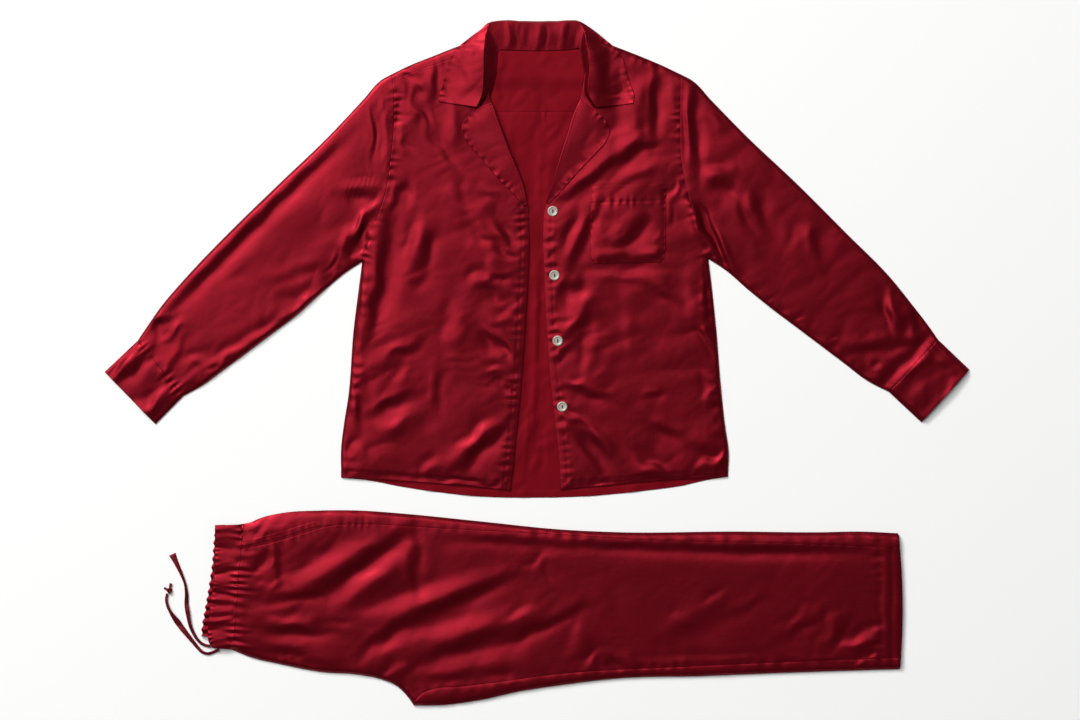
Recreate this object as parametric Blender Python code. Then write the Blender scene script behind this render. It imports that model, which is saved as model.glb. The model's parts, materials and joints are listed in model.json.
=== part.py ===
"""A two-piece satin pyjama set laid out flat on a surface.

The long-sleeved shirt lies on its back, buttons undone, camp collar open.  The
drawstring trousers lie below it, folded leg on leg, so the wearer's left leg is
on top.  Every cut piece of cloth is its own closed wall, and what a fold hides
is one rounded solid with layered edges.

Frame: +X runs to the wearer's left, +Y from the hem up to the collar, +Z up from
the surface.  The origin is on the surface, under the middle of the whole set.
Tables of places are in centimetres, heights and wall sizes in metres.
"""

import math

import bpy
import numpy as np
from mathutils import Vector
from mathutils.bvhtree import BVHTree

# ------------------------------------------------------------------ sizes
CM = 0.01
MM = 0.001

WALL = 1.2 * MM                # cloth wall of one layer
GAP = 0.3 * MM                 # clearance at a seam and between layers
BACK_TOP = WALL                # upper face of what lies on the surface
EDGE_TOP = BACK_TOP + GAP + WALL   # upper face of a second layer at its edge
INNER_GAP = 3.6 * MM           # most that a front stands off the back
TOP_LIMIT = 7.8 * MM           # highest ridge of the shirt
LOFT = 2.3 * MM                # how far the middle of a panel stands off
ROUND = 11 * MM                # how fast the loft comes in from an edge
FOLD_FADE = 12 * MM            # folds die out this near the outline
FALL_LIFT = 1.8 * MM           # the collar's fall lifts what lies over it
UPPER_SPREAD = 1.2             # cm, how much wider the fronts are lifted than the yoke

YOKE_Y = 35.8                  # cm, seam between back and yoke
BACK_WIDTH = 42.0              # cm, back panel between the armholes
FRONT_WIDTH = 18.0             # cm, one front, armhole to front edge
SLEEVE_LENGTH = 45.0           # cm, underarm to cuff seam
SLEEVE_WIDTH = 16.0            # cm, flat, halfway down
CUFF_LENGTH = 6.0              # cm, seam to open end
CUFF_WIDTH = 10.0              # cm, flat
CUFF_LOFT = 1.5 * MM           # how far the middle of a cuff stands off
EDGE_BULGE = 1.1 * MM          # how far a tube's folded edge rounds out
COLLAR_REACH = 7 * MM          # the collar clears whatever lies this near below it
COLLAR_GATHERS = 17            # small folds of the band behind the neck
COLLAR_GATHER = 0.5 * MM       # height of such a fold
ROLL_RISE = 1.1 * MM           # how far the collar's roll line stands up

LEG_STACK = 4.4 * MM           # hidden layers of the folded trousers at their edge
LEG_LOFT = 2.0 * MM
WAIST_LOFT = 1.2 * MM          # extra loft of the gathered waist end
PANEL_WIDTH = 18.0             # cm, front panel of the leg, inseam to side seam
BAND_LENGTH = 4.0              # cm, waistband from the leg seam to the waist edge
BAND_GATHER = 1.3 * MM         # height of the waistband's folds
BAND_STACK = 6.2 * MM          # hidden layers of the folded waistband

BUTTON_RADIUS = 7.4 * MM
BUTTON_THICK = 2.4 * MM
BUTTON_SIDES = 16
BUTTON_HOLE = 1.0 * MM         # radius of a thread hole
HOLE_SIDES = 6
HOLE_OFFSET = 1.5 * MM         # from the button's middle
TAPE_RADIUS = 2.6 * MM         # half the width of the twisted drawstring

# ------------------------------------------------------------------ outlines
# Columns x, y in cm.  "right" is the wearer's right, at -X.
SIDE_SEAM = {
    "right": [(-28.0, -16.4), (-28.0, -12.2), (-27.6, -8.8), (-27.0, -5.0),
              (-26.2, 4.9), (-25.5, 10.5), (-25.0, 14.4)],
    "left": [(27.3, -16.25), (27.4, -13.0), (26.8, -8.4), (26.3, -3.6),
             (25.6, 4.9), (24.9, 11.5), (24.5, 14.8)],
}
ARMHOLE = {
    "right": [(-25.0, 14.4), (-24.0, 18.1), (-22.8, 20.8), (-21.7, 24.0),
              (-20.8, 29.7), (-20.45, 33.3), (-20.35, 37.3), (-20.7, 41.25)],
    "left": [(24.5, 14.8), (24.1, 16.6), (23.1, 19.4), (22.1, 22.4),
             (21.2, 25.6), (20.55, 29.7), (20.45, 34.3), (20.55, 41.2)],
}
SLEEVE_OVER = {
    "right": [(-20.7, 41.25), (-22.2, 40.4), (-24.9, 37.5), (-29.7, 32.4), (-36.9, 25.5),
              (-43.9, 18.7), (-50.5, 11.8), (-53.5, 8.3), (-55.9, 4.9), (-57.1, 3.1)],
    "left": [(20.55, 41.2), (22.2, 40.3), (24.9, 37.5), (29.9, 32.4), (37.2, 25.5),
             (44.0, 18.7), (50.8, 11.8), (53.6, 8.3), (56.2, 4.9), (57.3, 3.3)],
}
SLEEVE_UNDER = {
    "right": [(-25.0, 14.4), (-26.6, 13.4), (-30.9, 9.9), (-34.3, 6.8), (-37.75, 4.2),
              (-44.6, -0.9), (-48.05, -3.4), (-50.6, -4.8)],
    "left": [(24.5, 14.8), (26.7, 13.4), (30.2, 10.4), (33.6, 7.65), (37.0, 5.1),
             (43.9, -0.1), (47.3, -2.65), (50.3, -4.2)],
}
CUFF_END = {
    "right": [(-54.5, -8.75), (-61.75, -1.3)],
    "left": [(54.9, -8.5), (61.75, -0.95)],
}
SHOULDER = {
    "right": [(-20.7, 41.25), (-18.0, 42.55), (-14.4, 43.97), (-11.2, 45.25), (-8.0, 46.4)],
    "left": [(20.55, 41.2), (17.7, 42.55), (14.3, 43.97), (11.0, 45.25), (7.9, 46.4)],
}
FORWARD_LEVEL = {"right": 40.35, "left": 40.75}    # where the forward seam starts
FORWARD_SEAM = {
    "right": [(-16.5, 41.9), (-12.4, 43.3)],
    "left": [(16.2, 42.65), (12.0, 44.3)],
}
FRONT_EDGE = {
    "right": [(-3.85, -18.2), (-3.3, -13.5), (-2.9, -9.5), (-2.15, -1.2), (-1.6, 7.6),
              (-1.2, 14.8), (-1.2, 19.2), (-1.35, 22.3), (-2.1, 25.4), (-3.8, 29.5),
              (-5.55, 34.0), (-6.6, 37.4), (-7.15, 41.0), (-7.3, 45.0)],
    "left": [(3.45, -18.15), (3.2, -13.5), (2.75, -9.5), (1.85, -1.2), (1.3, 7.6),
             (1.05, 13.8), (0.9, 17.5), (1.25, 22.3), (2.45, 26.0), (3.6, 29.5),
             (4.9, 33.7), (6.3, 38.0), (6.9, 41.5), (7.1, 45.7)],
}
FRONT_HEM_SAG = 0.22           # cm, the hem of a front bows up between its corners
BACK_HEM = [(-28.0, -16.4), (-24.0, -16.8), (-19.6, -17.65), (-13.9, -18.5), (-8.0, -19.1),
            (0.0, -19.25), (8.0, -19.0), (14.7, -18.35), (20.4, -17.6), (24.5, -16.7),
            (27.3, -16.25)]
NECK_SEAM = [(-8.0, 46.4), (-6.9, 45.0), (-3.5, 44.55), (0.0, 44.45), (3.5, 44.55),
             (6.7, 45.0), (7.9, 46.4)]

# Rows run from the right leaf's notch round the back neck to the left leaf's notch.
# inner: roll line or neck seam; outer: leaf edge or the fold at the back neck.
COLLAR_SECTIONS = [
    # inner x, inner y, outer x, outer y
    (-8.55, 36.45, -13.9, 37.55),
    (-7.75, 37.6, -13.75, 38.9),
    (-7.3, 39.2, -13.25, 40.7),
    (-7.15, 41.4, -12.7, 42.4),
    (-7.1, 43.3, -11.6, 44.85),
    (-7.05, 44.6, -9.6, 46.6),
    (-6.6, 44.95, -7.1, 48.2),
    (-4.6, 44.75, -5.2, 48.75),
    (-2.2, 44.6, -2.4, 48.85),
    (0.0, 44.5, -0.1, 48.9),
    (2.2, 44.6, 2.3, 48.85),
    (4.6, 44.75, 5.0, 48.75),
    (6.4, 44.95, 6.9, 48.2),
    (6.95, 44.6, 9.5, 46.5),
    (7.0, 43.3, 11.6, 44.75),
    (7.2, 41.4, 12.6, 42.4),
    (6.95, 39.4, 13.2, 40.4),
    (7.6, 37.8, 13.7, 38.6),
    (8.4, 36.45, 13.65, 37.2),
]
LAPEL = {
    "right": {
        "roll": [(-6.5, 37.1), (-5.5, 34.0), (-3.75, 29.5), (-2.05, 25.4), (-1.5, 23.0)],
        "edge": [(-8.7, 36.3), (-10.65, 33.6), (-10.2, 31.9), (-8.15, 29.4), (-5.6, 26.4),
                 (-3.2, 23.7), (-2.1, 22.6)],
    },
    "left": {
        "roll": [(6.25, 37.5), (5.4, 35.4), (4.5, 32.5), (3.5, 29.5), (2.4, 26.0), (1.6, 23.7)],
        "edge": [(8.4, 35.9), (9.9, 34.3), (10.4, 33.0), (9.9, 31.7), (8.0, 29.5), (5.7, 27.1),
                 (3.9, 25.0), (2.2, 23.3)],
    },
}
POCKET_CORNERS = [(7.5, 14.1), (18.35, 14.3), (18.45, 25.5), (7.85, 25.1)]
BUTTON_PLACES = [(2.25, 21.6), (2.5, 12.45), (2.95, 3.1), (3.6, -6.3)]

# The trousers' lines are read along x.
LEG_TOP = [(-42.0, -23.15), (-41.0, -22.95), (-39.6, -22.35), (-36.75, -21.65), (-31.0, -21.25),
           (-25.3, -21.25), (-19.6, -21.65), (-8.1, -22.8), (3.3, -23.95), (11.9, -24.35),
           (28.0, -24.25), (40.5, -24.35), (46.2, -24.25), (51.6, -24.5)]
LEG_SIDE_SEAM = [(-42.05, -26.7), (-36.9, -25.5), (-33.7, -24.5), (-29.3, -23.3), (-24.5, -23.1),
                 (-13.0, -23.7), (1.4, -24.4), (16.7, -25.35), (35.9, -25.85), (51.7, -26.5)]
LEG_INSEAM = [(-17.6, -48.45), (-16.6, -47.3), (-15.0, -46.6), (-11.0, -46.2), (-6.8, -45.7),
              (3.3, -44.4), (20.6, -43.4), (35.9, -42.7), (51.8, -42.1)]
CROTCH_SEAM = [(-43.45, -40.75), (-41.0, -41.75), (-36.75, -42.8), (-31.0, -43.85),
               (-25.3, -44.35), (-22.45, -44.9), (-20.1, -45.9), (-18.6, -47.4), (-17.6, -48.45)]
LEG_BOTTOM = [(-17.6, -48.9), (-13.9, -48.85), (-8.1, -48.1), (-2.4, -46.85), (3.3, -46.0),
              (11.9, -45.0), (23.3, -44.7), (34.75, -44.25), (51.9, -43.7)]
BODY_BOTTOM = [(-43.5, -41.0), (-41.0, -41.98), (-36.75, -43.0), (-31.0, -44.1), (-25.3, -44.55),
               (-22.45, -45.12), (-19.8, -46.3), (-18.4, -47.75), (-17.6, -48.9)]
CROTCH_X = -17.6
HEM_BOW = 0.45                 # cm, the trouser hem bows out in the middle
WAIST_SEAM = [(-42.05, -23.15), (-42.75, -32.05), (-43.45, -40.95)]
WAIST_EDGE = [(-45.9, -23.3), (-46.05, -29.8), (-46.35, -32.8), (-46.7, -35.7), (-46.95, -38.0),
              (-46.9, -39.6), (-46.35, -40.7)]
BAND_GATHERS = 8               # folds across the waistband
RUFFLE_SCALLOPS = 12           # waves of the hidden layers past the waist edge
RUFFLE_OUT = [0.3, 1.15]       # cm past the waist edge, at the back and at the front
RUFFLE_END = 0.9               # share of the waist edge where the ruffle stops

# Drawstring tails: columns x, y in cm and height of the centre line in mm.
TAPE_A = [(-46.69, -40.5, 3.4), (-47.3, -40.45, 2.9), (-47.95, -40.15, 2.8), (-48.6, -39.5, 2.8),
          (-49.1, -38.7, 2.8), (-49.5, -37.8, 2.8), (-49.85, -36.3, 2.8), (-50.1, -34.6, 2.8),
          (-50.1, -33.0, 2.8), (-50.3, -31.7, 2.8), (-50.8, -30.3, 2.8), (-51.5, -28.8, 2.8),
          (-52.15, -27.4, 2.8)]
TAPE_B = [(-45.5, -41.04, 3.4), (-46.3, -41.4, 2.9), (-47.05, -41.6, 2.8), (-47.8, -41.4, 2.8),
          (-48.45, -40.8, 2.8), (-49.15, -39.95, 2.8), (-50.0, -38.9, 2.8), (-50.8, -37.9, 2.8),
          (-51.6, -36.8, 2.8), (-52.3, -35.8, 2.8), (-52.8, -34.8, 2.8), (-53.0, -33.8, 2.8),
          (-52.87, -33.02, 2.8)]
KNOT_PLACE = (-52.55, -32.55)
KNOT_RADII = (4.6 * MM, 4.2 * MM, 2.9 * MM)

# ------------------------------------------------------------------ folds
# Columns: x0, y0, x1, y1, half width (cm), height (mm), bend to the left (cm).
# A negative height is a trough.
SHIRT_FOLDS = [
    # right front
    (-17.0, 42.0, -18.9, 34.5, 1.1, 2.0, 0.2),
    (-19.2, 41.0, -19.9, 34.0, 0.8, -1.6, 0.0),
    (-17.4, 36.6, -12.0, 28.0, 1.0, -2.2, -0.3),
    (-14.0, 36.5, -10.8, 30.0, 1.7, 1.6, 0.0),
    (-20.5, 24.8, -17.6, 24.0, 1.1, -2.0, 0.0),
    (-20.6, 22.0, -23.6, 3.5, 1.6, -2.4, 0.6),
    (-24.4, 14.0, -25.6, 2.0, 1.0, 1.2, 0.2),
    (-15.6, 20.0, -19.2, 12.0, 1.5, 2.6, 0.3),
    (-14.4, 18.5, -17.2, 11.5, 1.1, -1.8, 0.0),
    (-7.5, 22.5, -3.0, 17.0, 1.4, -2.0, 0.5),
    (-10.5, 17.5, -5.0, 11.5, 1.3, 2.0, 0.2),
    (-8.0, 10.5, -3.0, 8.0, 1.2, -1.8, -0.3),
    (-10.0, 9.0, -12.5, 0.0, 1.6, 1.2, 0.0),
    (-8.5, 4.0, -3.0, 1.2, 1.2, -2.0, 0.4),
    (-8.0, -1.5, -3.6, -3.4, 1.0, -1.6, 0.2),
    (-16.8, 8.0, -21.5, -1.0, 1.6, 1.5, 0.0),
    (-18.5, -3.5, -24.5, -8.0, 1.5, -1.8, 0.3),
    (-17.6, -6.0, -22.5, -10.5, 1.3, 2.0, 0.0),
    (-5.5, -6.8, -14.0, -16.0, 1.5, 2.6, 0.6),
    (-4.6, -10.0, -11.5, -16.4, 1.4, -2.4, 0.3),
    (-13.5, -3.0, -17.5, -12.0, 1.6, -1.4, 0.2),
    # left front
    (15.8, 41.0, 16.0, 33.5, 1.8, 2.4, -0.8),
    (17.9, 40.0, 15.8, 31.5, 1.1, -1.8, -0.8),
    (15.2, 33.0, 4.8, 25.4, 1.7, 2.4, 0.5),
    (17.0, 31.0, 6.0, 24.4, 1.2, -1.6, 0.4),
    (6.8, 24.0, 2.6, 14.6, 1.4, 2.2, -0.4),
    (6.9, 16.0, 3.2, 9.8, 1.1, -1.8, 0.3),
    (16.6, 20.8, 11.2, 15.6, 1.4, -2.6, 0.3),
    (14.8, 22.2, 9.6, 17.0, 1.3, 2.2, 0.2),
    (17.4, 14.4, 9.0, 14.0, 0.8, -1.6, 0.4),
    (19.0, 12.8, 12.0, 9.0, 1.4, 1.6, 0.3),
    (21.5, 14.0, 24.9, 3.0, 1.3, 2.0, -0.6),
    (20.3, 12.0, 24.0, 0.0, 1.3, -1.8, -0.6),
    (7.8, 9.8, 4.0, 3.5, 1.6, 1.8, 0.4),
    (9.0, 7.4, 6.0, 2.6, 1.2, -1.6, 0.3),
    (11.5, 0.5, 3.8, -3.8, 1.5, 1.8, 0.3),
    (3.4, -7.6, 11.0, -13.8, 1.2, 2.6, 0.8),
    (4.4, -9.6, 10.4, -17.0, 1.6, -2.6, 0.8),
    (24.3, -0.8, 24.8, -6.5, 1.2, 2.0, 0.0),
    (20.5, -8.5, 15.0, -13.0, 1.8, -1.6, 0.4),
    (22.0, -10.6, 27.0, -14.0, 1.2, 2.0, 0.5),
    (20.0, -15.0, 12.0, -15.6, 1.0, 1.8, 0.4),
    # right sleeve
    (-23.0, 37.0, -22.7, 29.0, 0.7, -2.2, 0.3),
    (-21.8, 38.5, -21.5, 27.0, 0.6, 1.6, 0.0),
    (-22.2, 25.0, -30.5, 25.4, 0.9, 2.2, 0.2),
    (-22.4, 23.9, -27.2, 23.6, 0.8, -2.6, 0.2),
    (-22.6, 23.0, -28.4, 16.2, 0.8, 2.8, 0.6),
    (-23.9, 20.2, -27.0, 15.2, 1.1, -3.2, 0.2),
    (-23.5, 36.5, -53.0, 7.0, 1.4, -1.8, 0.4),
    (-30.0, 12.6, -47.5, -1.4, 1.4, 2.0, 0.3),
    (-26.0, 29.5, -38.0, 18.0, 3.2, 1.4, 0.6),
    (-44.0, 12.6, -31.0, 15.4, 2.0, -1.4, 0.3),
    (-51.0, 7.0, -54.5, 3.4, 0.9, 1.8, 0.3),
    (-51.3, 2.2, -55.5, 5.0, 1.2, -2.0, 0.2),
    # left sleeve
    (21.3, 39.0, 21.2, 31.0, 0.6, 1.8, 0.2),
    (22.3, 38.0, 22.4, 26.5, 1.0, -2.4, 0.2),
    (23.2, 26.6, 28.6, 28.6, 1.0, 2.4, -0.4),
    (23.6, 24.7, 28.8, 25.4, 1.0, -1.8, -0.3),
    (22.2, 23.5, 26.9, 14.8, 0.7, 2.8, -0.9),
    (23.2, 21.6, 25.4, 16.0, 0.9, -3.0, -0.4),
    (28.2, 25.2, 31.8, 14.6, 1.2, 2.2, -0.5),
    (31.0, 25.5, 34.4, 15.6, 1.3, -1.6, -0.5),
    (39.6, 20.0, 36.2, 13.0, 1.5, 1.6, -0.3),
    (50.6, 9.6, 52.2, 2.4, 1.2, 2.6, -0.4),
    (54.6, 7.0, 48.8, 1.8, 1.2, -2.4, 0.5),
    (47.0, -0.4, 50.0, -1.9, 0.9, 1.8, 0.2),
]
LEG_FOLDS = [
    # gathers that run out of the waistband
    (-42.0, -32.4, -34.5, -31.0, 0.8, 2.0, 0.2),
    (-42.0, -34.2, -30.5, -33.6, 0.9, -2.6, 0.4),
    (-42.0, -38.3, -25.0, -37.6, 1.1, -2.8, -0.4),
    (-41.5, -36.4, -31.0, -36.6, 1.1, 2.2, 0.2),
    (-41.8, -28.6, -37.6, -26.4, 0.9, 1.8, 0.2),
    (-41.0, -30.8, -36.4, -27.4, 1.0, -2.4, 0.5),
    (-42.0, -25.4, -36.4, -22.0, 0.6, 2.0, 0.3),
    (-40.5, -41.0, -30.0, -42.6, 0.9, -1.8, 0.2),
    # slanting folds over the thigh
    (-22.0, -24.6, -36.0, -32.2, 1.7, 4.0, 0.8),
    (-16.5, -23.4, -35.0, -34.2, 1.6, -3.6, 0.8),
    (-18.5, -27.0, -28.0, -34.0, 1.5, 3.0, 0.5),
    (-18.0, -26.0, -17.4, -34.0, 1.1, -2.6, 0.2),
    (-4.0, -29.0, -24.0, -37.2, 1.6, 3.8, 0.5),
    (-2.0, -30.2, -23.0, -39.6, 1.5, -3.8, 0.6),
    (2.0, -34.6, -14.0, -39.6, 1.6, 2.6, 0.4),
    (5.0, -36.6, -18.6, -43.0, 1.6, -3.4, 0.7),
    (-20.4, -41.0, -17.0, -46.8, 1.0, 2.4, -0.3),
    (-17.4, -42.6, -19.4, -46.4, 0.8, -1.8, 0.0),
    (-15.0, -44.0, 0.0, -42.5, 1.4, 1.6, 0.2),
    (2.0, -24.5, -3.0, -34.0, 1.4, -1.2, 0.2),
    # lower leg
    (7.0, -26.6, 48.0, -26.8, 1.2, -2.2, -0.3),
    (4.8, -36.6, 6.8, -42.0, 1.3, 1.8, 0.3),
    (11.0, -41.6, 14.6, -43.6, 0.9, 2.0, 0.2),
    (10.2, -42.0, 12.4, -44.0, 0.8, -1.8, 0.0),
    (21.0, -42.6, 17.0, -39.0, 1.2, -1.4, 0.2),
    (27.5, -33.0, 17.0, -38.0, 1.8, 1.8, 0.3),
    (29.5, -35.0, 19.0, -40.0, 1.6, -1.6, 0.3),
    (40.5, -33.0, 33.5, -39.0, 1.5, 1.8, 0.4),
    (40.5, -36.0, 33.0, -40.4, 1.4, -1.8, 0.4),
    (43.2, -35.4, 41.4, -40.4, 0.9, 2.0, -0.2),
    (43.8, -36.2, 43.2, -41.0, 0.9, -1.8, -0.2),
    (49.6, -38.0, 44.0, -41.2, 0.9, 2.0, 0.3),
    (48.6, -41.6, 45.6, -42.6, 0.8, -1.8, 0.0),
]


# ------------------------------------------------------------------ curves
def along(table, share):
    """Points at the given shares of a smooth curve through a table's points.

    The curve is a chain of cubic spans; its slope at a point is read from the
    point's neighbours, and shares are of the length of the straight chain.
    """
    points = np.asarray(table, float)
    steps = np.linalg.norm(np.diff(points[:, :2], axis=0), axis=1)
    knots = np.concatenate([[0.0], np.cumsum(steps)]) / steps.sum()
    return spans(knots, points, np.asarray(share, float))


def read_at(table, place, axis=0):
    """The other coordinate of a smooth curve where one coordinate is `place`."""
    points = np.asarray(table, float)
    if points[0, axis] > points[-1, axis]:
        points = points[::-1]
    return spans(points[:, axis], points[:, 1 - axis:2 - axis], np.asarray(place, float))[..., 0]


def spans(knots, values, at):
    """Cubic Hermite spans through `values` at `knots`, read at the places `at`."""
    slopes = np.gradient(values, knots, axis=0)
    index = np.clip(np.searchsorted(knots, at, side="right") - 1, 0, len(knots) - 2)
    width = knots[index + 1] - knots[index]
    part = ((at - knots[index]) / width)[..., None]
    width = width[..., None]
    first = values[index] * (2 * part ** 3 - 3 * part ** 2 + 1)
    second = values[index + 1] * (3 * part ** 2 - 2 * part ** 3)
    lean = slopes[index] * (part ** 3 - 2 * part ** 2 + part) * width
    lean += slopes[index + 1] * (part ** 3 - part ** 2) * width
    return first + second + lean


def ruled(low, high, shares):
    """Rows of points between two boundaries, one row for each pair of points."""
    part = np.asarray(shares, float)[None, :, None]
    return low[:, None, :] * (1 - part) + high[:, None, :] * part


def patch(low, high, start, end, shares, stations):
    """A four-sided patch: two sides at matching stations, and two curved ends.

    It is the ruled surface of the sides plus that of the ends, less the plane
    through the four corners.
    """
    part = np.asarray(shares, float)[None, :, None]
    place = np.asarray(stations, float)[:, None, None]
    sides = low[:, None, :] * (1 - part) + high[:, None, :] * part
    ends = start[None, :, :] * (1 - place) + end[None, :, :] * place
    first = low[0] * (1 - part) + high[0] * part
    last = low[-1] * (1 - part) + high[-1] * part
    return sides + ends - (first * (1 - place) + last * place)


def distance_to(chain, points):
    """Shortest distance from each point to a chain of straight runs, both in cm."""
    chain = np.asarray(chain, float)
    flat = points.reshape(-1, 1, 2)
    start, run = chain[None, :-1], np.diff(chain, axis=0)[None]
    share = ((flat - start) * run).sum(-1) / np.maximum((run ** 2).sum(-1), 1e-9)
    nearest = start + np.clip(share, 0, 1)[..., None] * run
    return np.linalg.norm(flat - nearest, axis=-1).min(1).reshape(points.shape[:-1])


# ------------------------------------------------------------------ heights
def relief(points, folds):
    """Sum of long soft folds, in metres.

    Each fold is a bell across its bent line, and fades to nothing at both ends.
    """
    total = np.zeros(points.shape[:-1])
    for x0, y0, x1, y1, half_width, height, bend in folds:
        run = np.array([x1 - x0, y1 - y0])
        length = np.hypot(*run)
        run = run / length
        offset = points - np.array([(x0 + x1) / 2, (y0 + y1) / 2])
        lengthwise = offset @ run / (length / 2)
        across = offset @ np.array([-run[1], run[0]]) - bend * (1 - lengthwise ** 2)
        ends = np.clip(1 - lengthwise ** 2, 0, 1)
        total += height * MM * ends * np.exp(-(across / half_width) ** 2)
    return total


def smooth_step(value):
    """0 below 0, 1 above 1, and an S-shaped rise between."""
    share = np.clip(value, 0, 1)
    return share * share * (3 - 2 * share)


def fall_lift(points, spread=0.0):
    """Rise of the yoke over the collar's hidden fall; `spread` cm wider for upper layers."""
    sideways = smooth_step((12.0 + spread - np.abs(points[..., 0])) / 2.6)
    upward = smooth_step((points[..., 1] - 38.6 + spread) / 2.4)
    return FALL_LIFT * sideways * upward


def chain_of(table, count=24):
    """A table's smooth curve as a chain of points."""
    return along(table, np.linspace(0, 1, count))


def shirt_outline():
    """The shirt's outer outline, from the right hem round the shoulders to the left hem."""
    right = [chain_of(SIDE_SEAM["right"]), chain_of(SLEEVE_UNDER["right"]),
             np.array(CUFF_END["right"]), chain_of(SLEEVE_OVER["right"])[::-1],
             chain_of(SHOULDER["right"])]
    left = [chain_of(SHOULDER["left"])[::-1], chain_of(SLEEVE_OVER["left"]),
            np.array(CUFF_END["left"])[::-1], chain_of(SLEEVE_UNDER["left"])[::-1],
            chain_of(SIDE_SEAM["left"])[::-1]]
    return np.concatenate(right), np.concatenate(left)


SHIRT_EDGES = shirt_outline()
FRONT_HEM = [np.array([SIDE_SEAM[side][0], FRONT_EDGE[side][0]]) for side in ("right", "left")]
FRONT_EDGES = [chain_of(FRONT_EDGE[side]) for side in ("right", "left")]


def shirt_top(points):
    """Height of the shirt's upper face over places in cm.

    It rises from the outline, stays low along the front edges and the hem, and
    carries the folds, which fade near the outline.
    """
    edge = np.minimum(distance_to(SHIRT_EDGES[0], points), distance_to(SHIRT_EDGES[1], points)) * CM
    free = [distance_to(chain, points) * CM for chain in FRONT_HEM + FRONT_EDGES]
    free = np.minimum.reduce(free)
    open_side = 0.3 + 0.7 * (1 - np.exp(-free / ROUND))
    rise = LOFT * (1 - np.exp(-edge / ROUND)) * open_side
    folds = relief(points, SHIRT_FOLDS) * np.clip(edge / FOLD_FADE, 0, 1)
    folds *= 0.45 + 0.55 * np.clip(free / FOLD_FADE, 0, 1)
    least = EDGE_TOP + fall_lift(points, UPPER_SPREAD)
    return np.clip(least + rise + folds, least, TOP_LIMIT)


def leg_outline():
    """The folded trousers' outline from the waist seam's front end round to its back end."""
    hem = np.array([LEG_BOTTOM[-1], (52.2, -36.0), (51.95, -29.4), LEG_TOP[-1]])
    return np.concatenate([chain_of(BODY_BOTTOM), chain_of(LEG_BOTTOM), hem,
                           chain_of(LEG_TOP)[::-1]])


LEG_EDGE = leg_outline()


def leg_top(points):
    """Height of the trousers' upper face over places in cm, waist end a little higher."""
    edge = distance_to(LEG_EDGE, points) * CM
    waist = np.exp(-(points[..., 0] + 42.0) / 7.0)
    rise = (LEG_LOFT + WAIST_LOFT * waist) * (1 - np.exp(-edge / ROUND))
    folds = relief(points, LEG_FOLDS) * np.clip(edge / FOLD_FADE, 0, 1)
    least = LEG_STACK + GAP + WALL
    return np.maximum(least + rise + folds, least)


# ------------------------------------------------------------------ meshes
def satin(name, red, green, blue):
    """A satin finish: a Principled BSDF with a soft, slightly metallic gloss."""
    material = bpy.data.materials.new(name)
    material.use_nodes = True
    shader = material.node_tree.nodes["Principled BSDF"]
    shader.inputs["Base Color"].default_value = (red, green, blue, 1.0)
    shader.inputs["Roughness"].default_value = 0.38
    shader.inputs["Metallic"].default_value = 0.15
    material.diffuse_color = (red, green, blue, 1.0)
    return material


SATIN = satin("crimson_satin", 0.22, 0.008, 0.018)
SATIN_INSIDE = satin("crimson_satin_reverse", 0.16, 0.006, 0.014)
TAPE = satin("crimson_tape", 0.15, 0.005, 0.012)
PEARL = satin("pearl_shell", 0.78, 0.72, 0.66)


def add_mesh(name, vertices, faces, material, smooth=True):
    """A named mesh object, made of the given faces."""
    mesh = bpy.data.meshes.new(name)
    mesh.from_pydata([tuple(vertex) for vertex in vertices], [], faces)
    mesh.validate()
    mesh.materials.append(material)
    if smooth:
        mesh.shade_smooth()
        mesh.set_sharp_from_angle(angle=math.radians(50))
    thing = bpy.data.objects.new(name, mesh)
    bpy.context.scene.collection.objects.link(thing)
    return thing


def in_space(points, height):
    """Places in cm and heights in metres as points in metres."""
    return np.concatenate([points * CM, np.broadcast_to(height, points.shape[:-1])[..., None]], -1)


def cells(rows, columns, close=False):
    """Index corners of every cell of a grid, and of the closing column of a ring."""
    last = columns if close else columns - 1
    row, column = np.meshgrid(np.arange(rows - 1), np.arange(last), indexing="ij")
    after = (column + 1) % columns
    return (row * columns + column, row * columns + after,
            (row + 1) * columns + after, (row + 1) * columns + column)


def triangles(corners, flip=False):
    """Two triangles for each cell, always split along the same diagonal."""
    a, b, c, d = (corner.ravel() for corner in corners)
    pairs = [np.stack([a, b, c], 1), np.stack([a, c, d], 1)]
    found = np.concatenate(pairs)
    return found[:, ::-1] if flip else found


def wall(name, upper, lower, material):
    """A closed wall between an upper and a lower grid of points in metres."""
    rows, columns = upper.shape[:2]
    count = rows * columns
    corners = cells(rows, columns)
    turned = facing_down(upper)
    faces = [triangles(corners, flip=turned), triangles(corners, flip=not turned) + count]
    index = np.arange(count).reshape(rows, columns)
    rim = np.concatenate([index[0, :-1], index[:-1, -1], index[-1, :0:-1], index[:0:-1, 0]])
    after = np.roll(rim, -1)
    side = [np.stack([rim, rim + count, after + count], 1),
            np.stack([rim, after + count, after], 1)]
    faces += [part[:, ::-1] if turned else part for part in side]
    vertices = np.concatenate([upper.reshape(-1, 3), lower.reshape(-1, 3)])
    return add_mesh(name, vertices, np.concatenate(faces).tolist(), material)


def facing_down(grid):
    """True where a grid's cells, taken row by row, face the surface below."""
    across = grid[0, 1] - grid[0, 0]
    along_rows = grid[1, 0] - grid[0, 0]
    return np.cross(across, along_rows)[2] < 0


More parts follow.
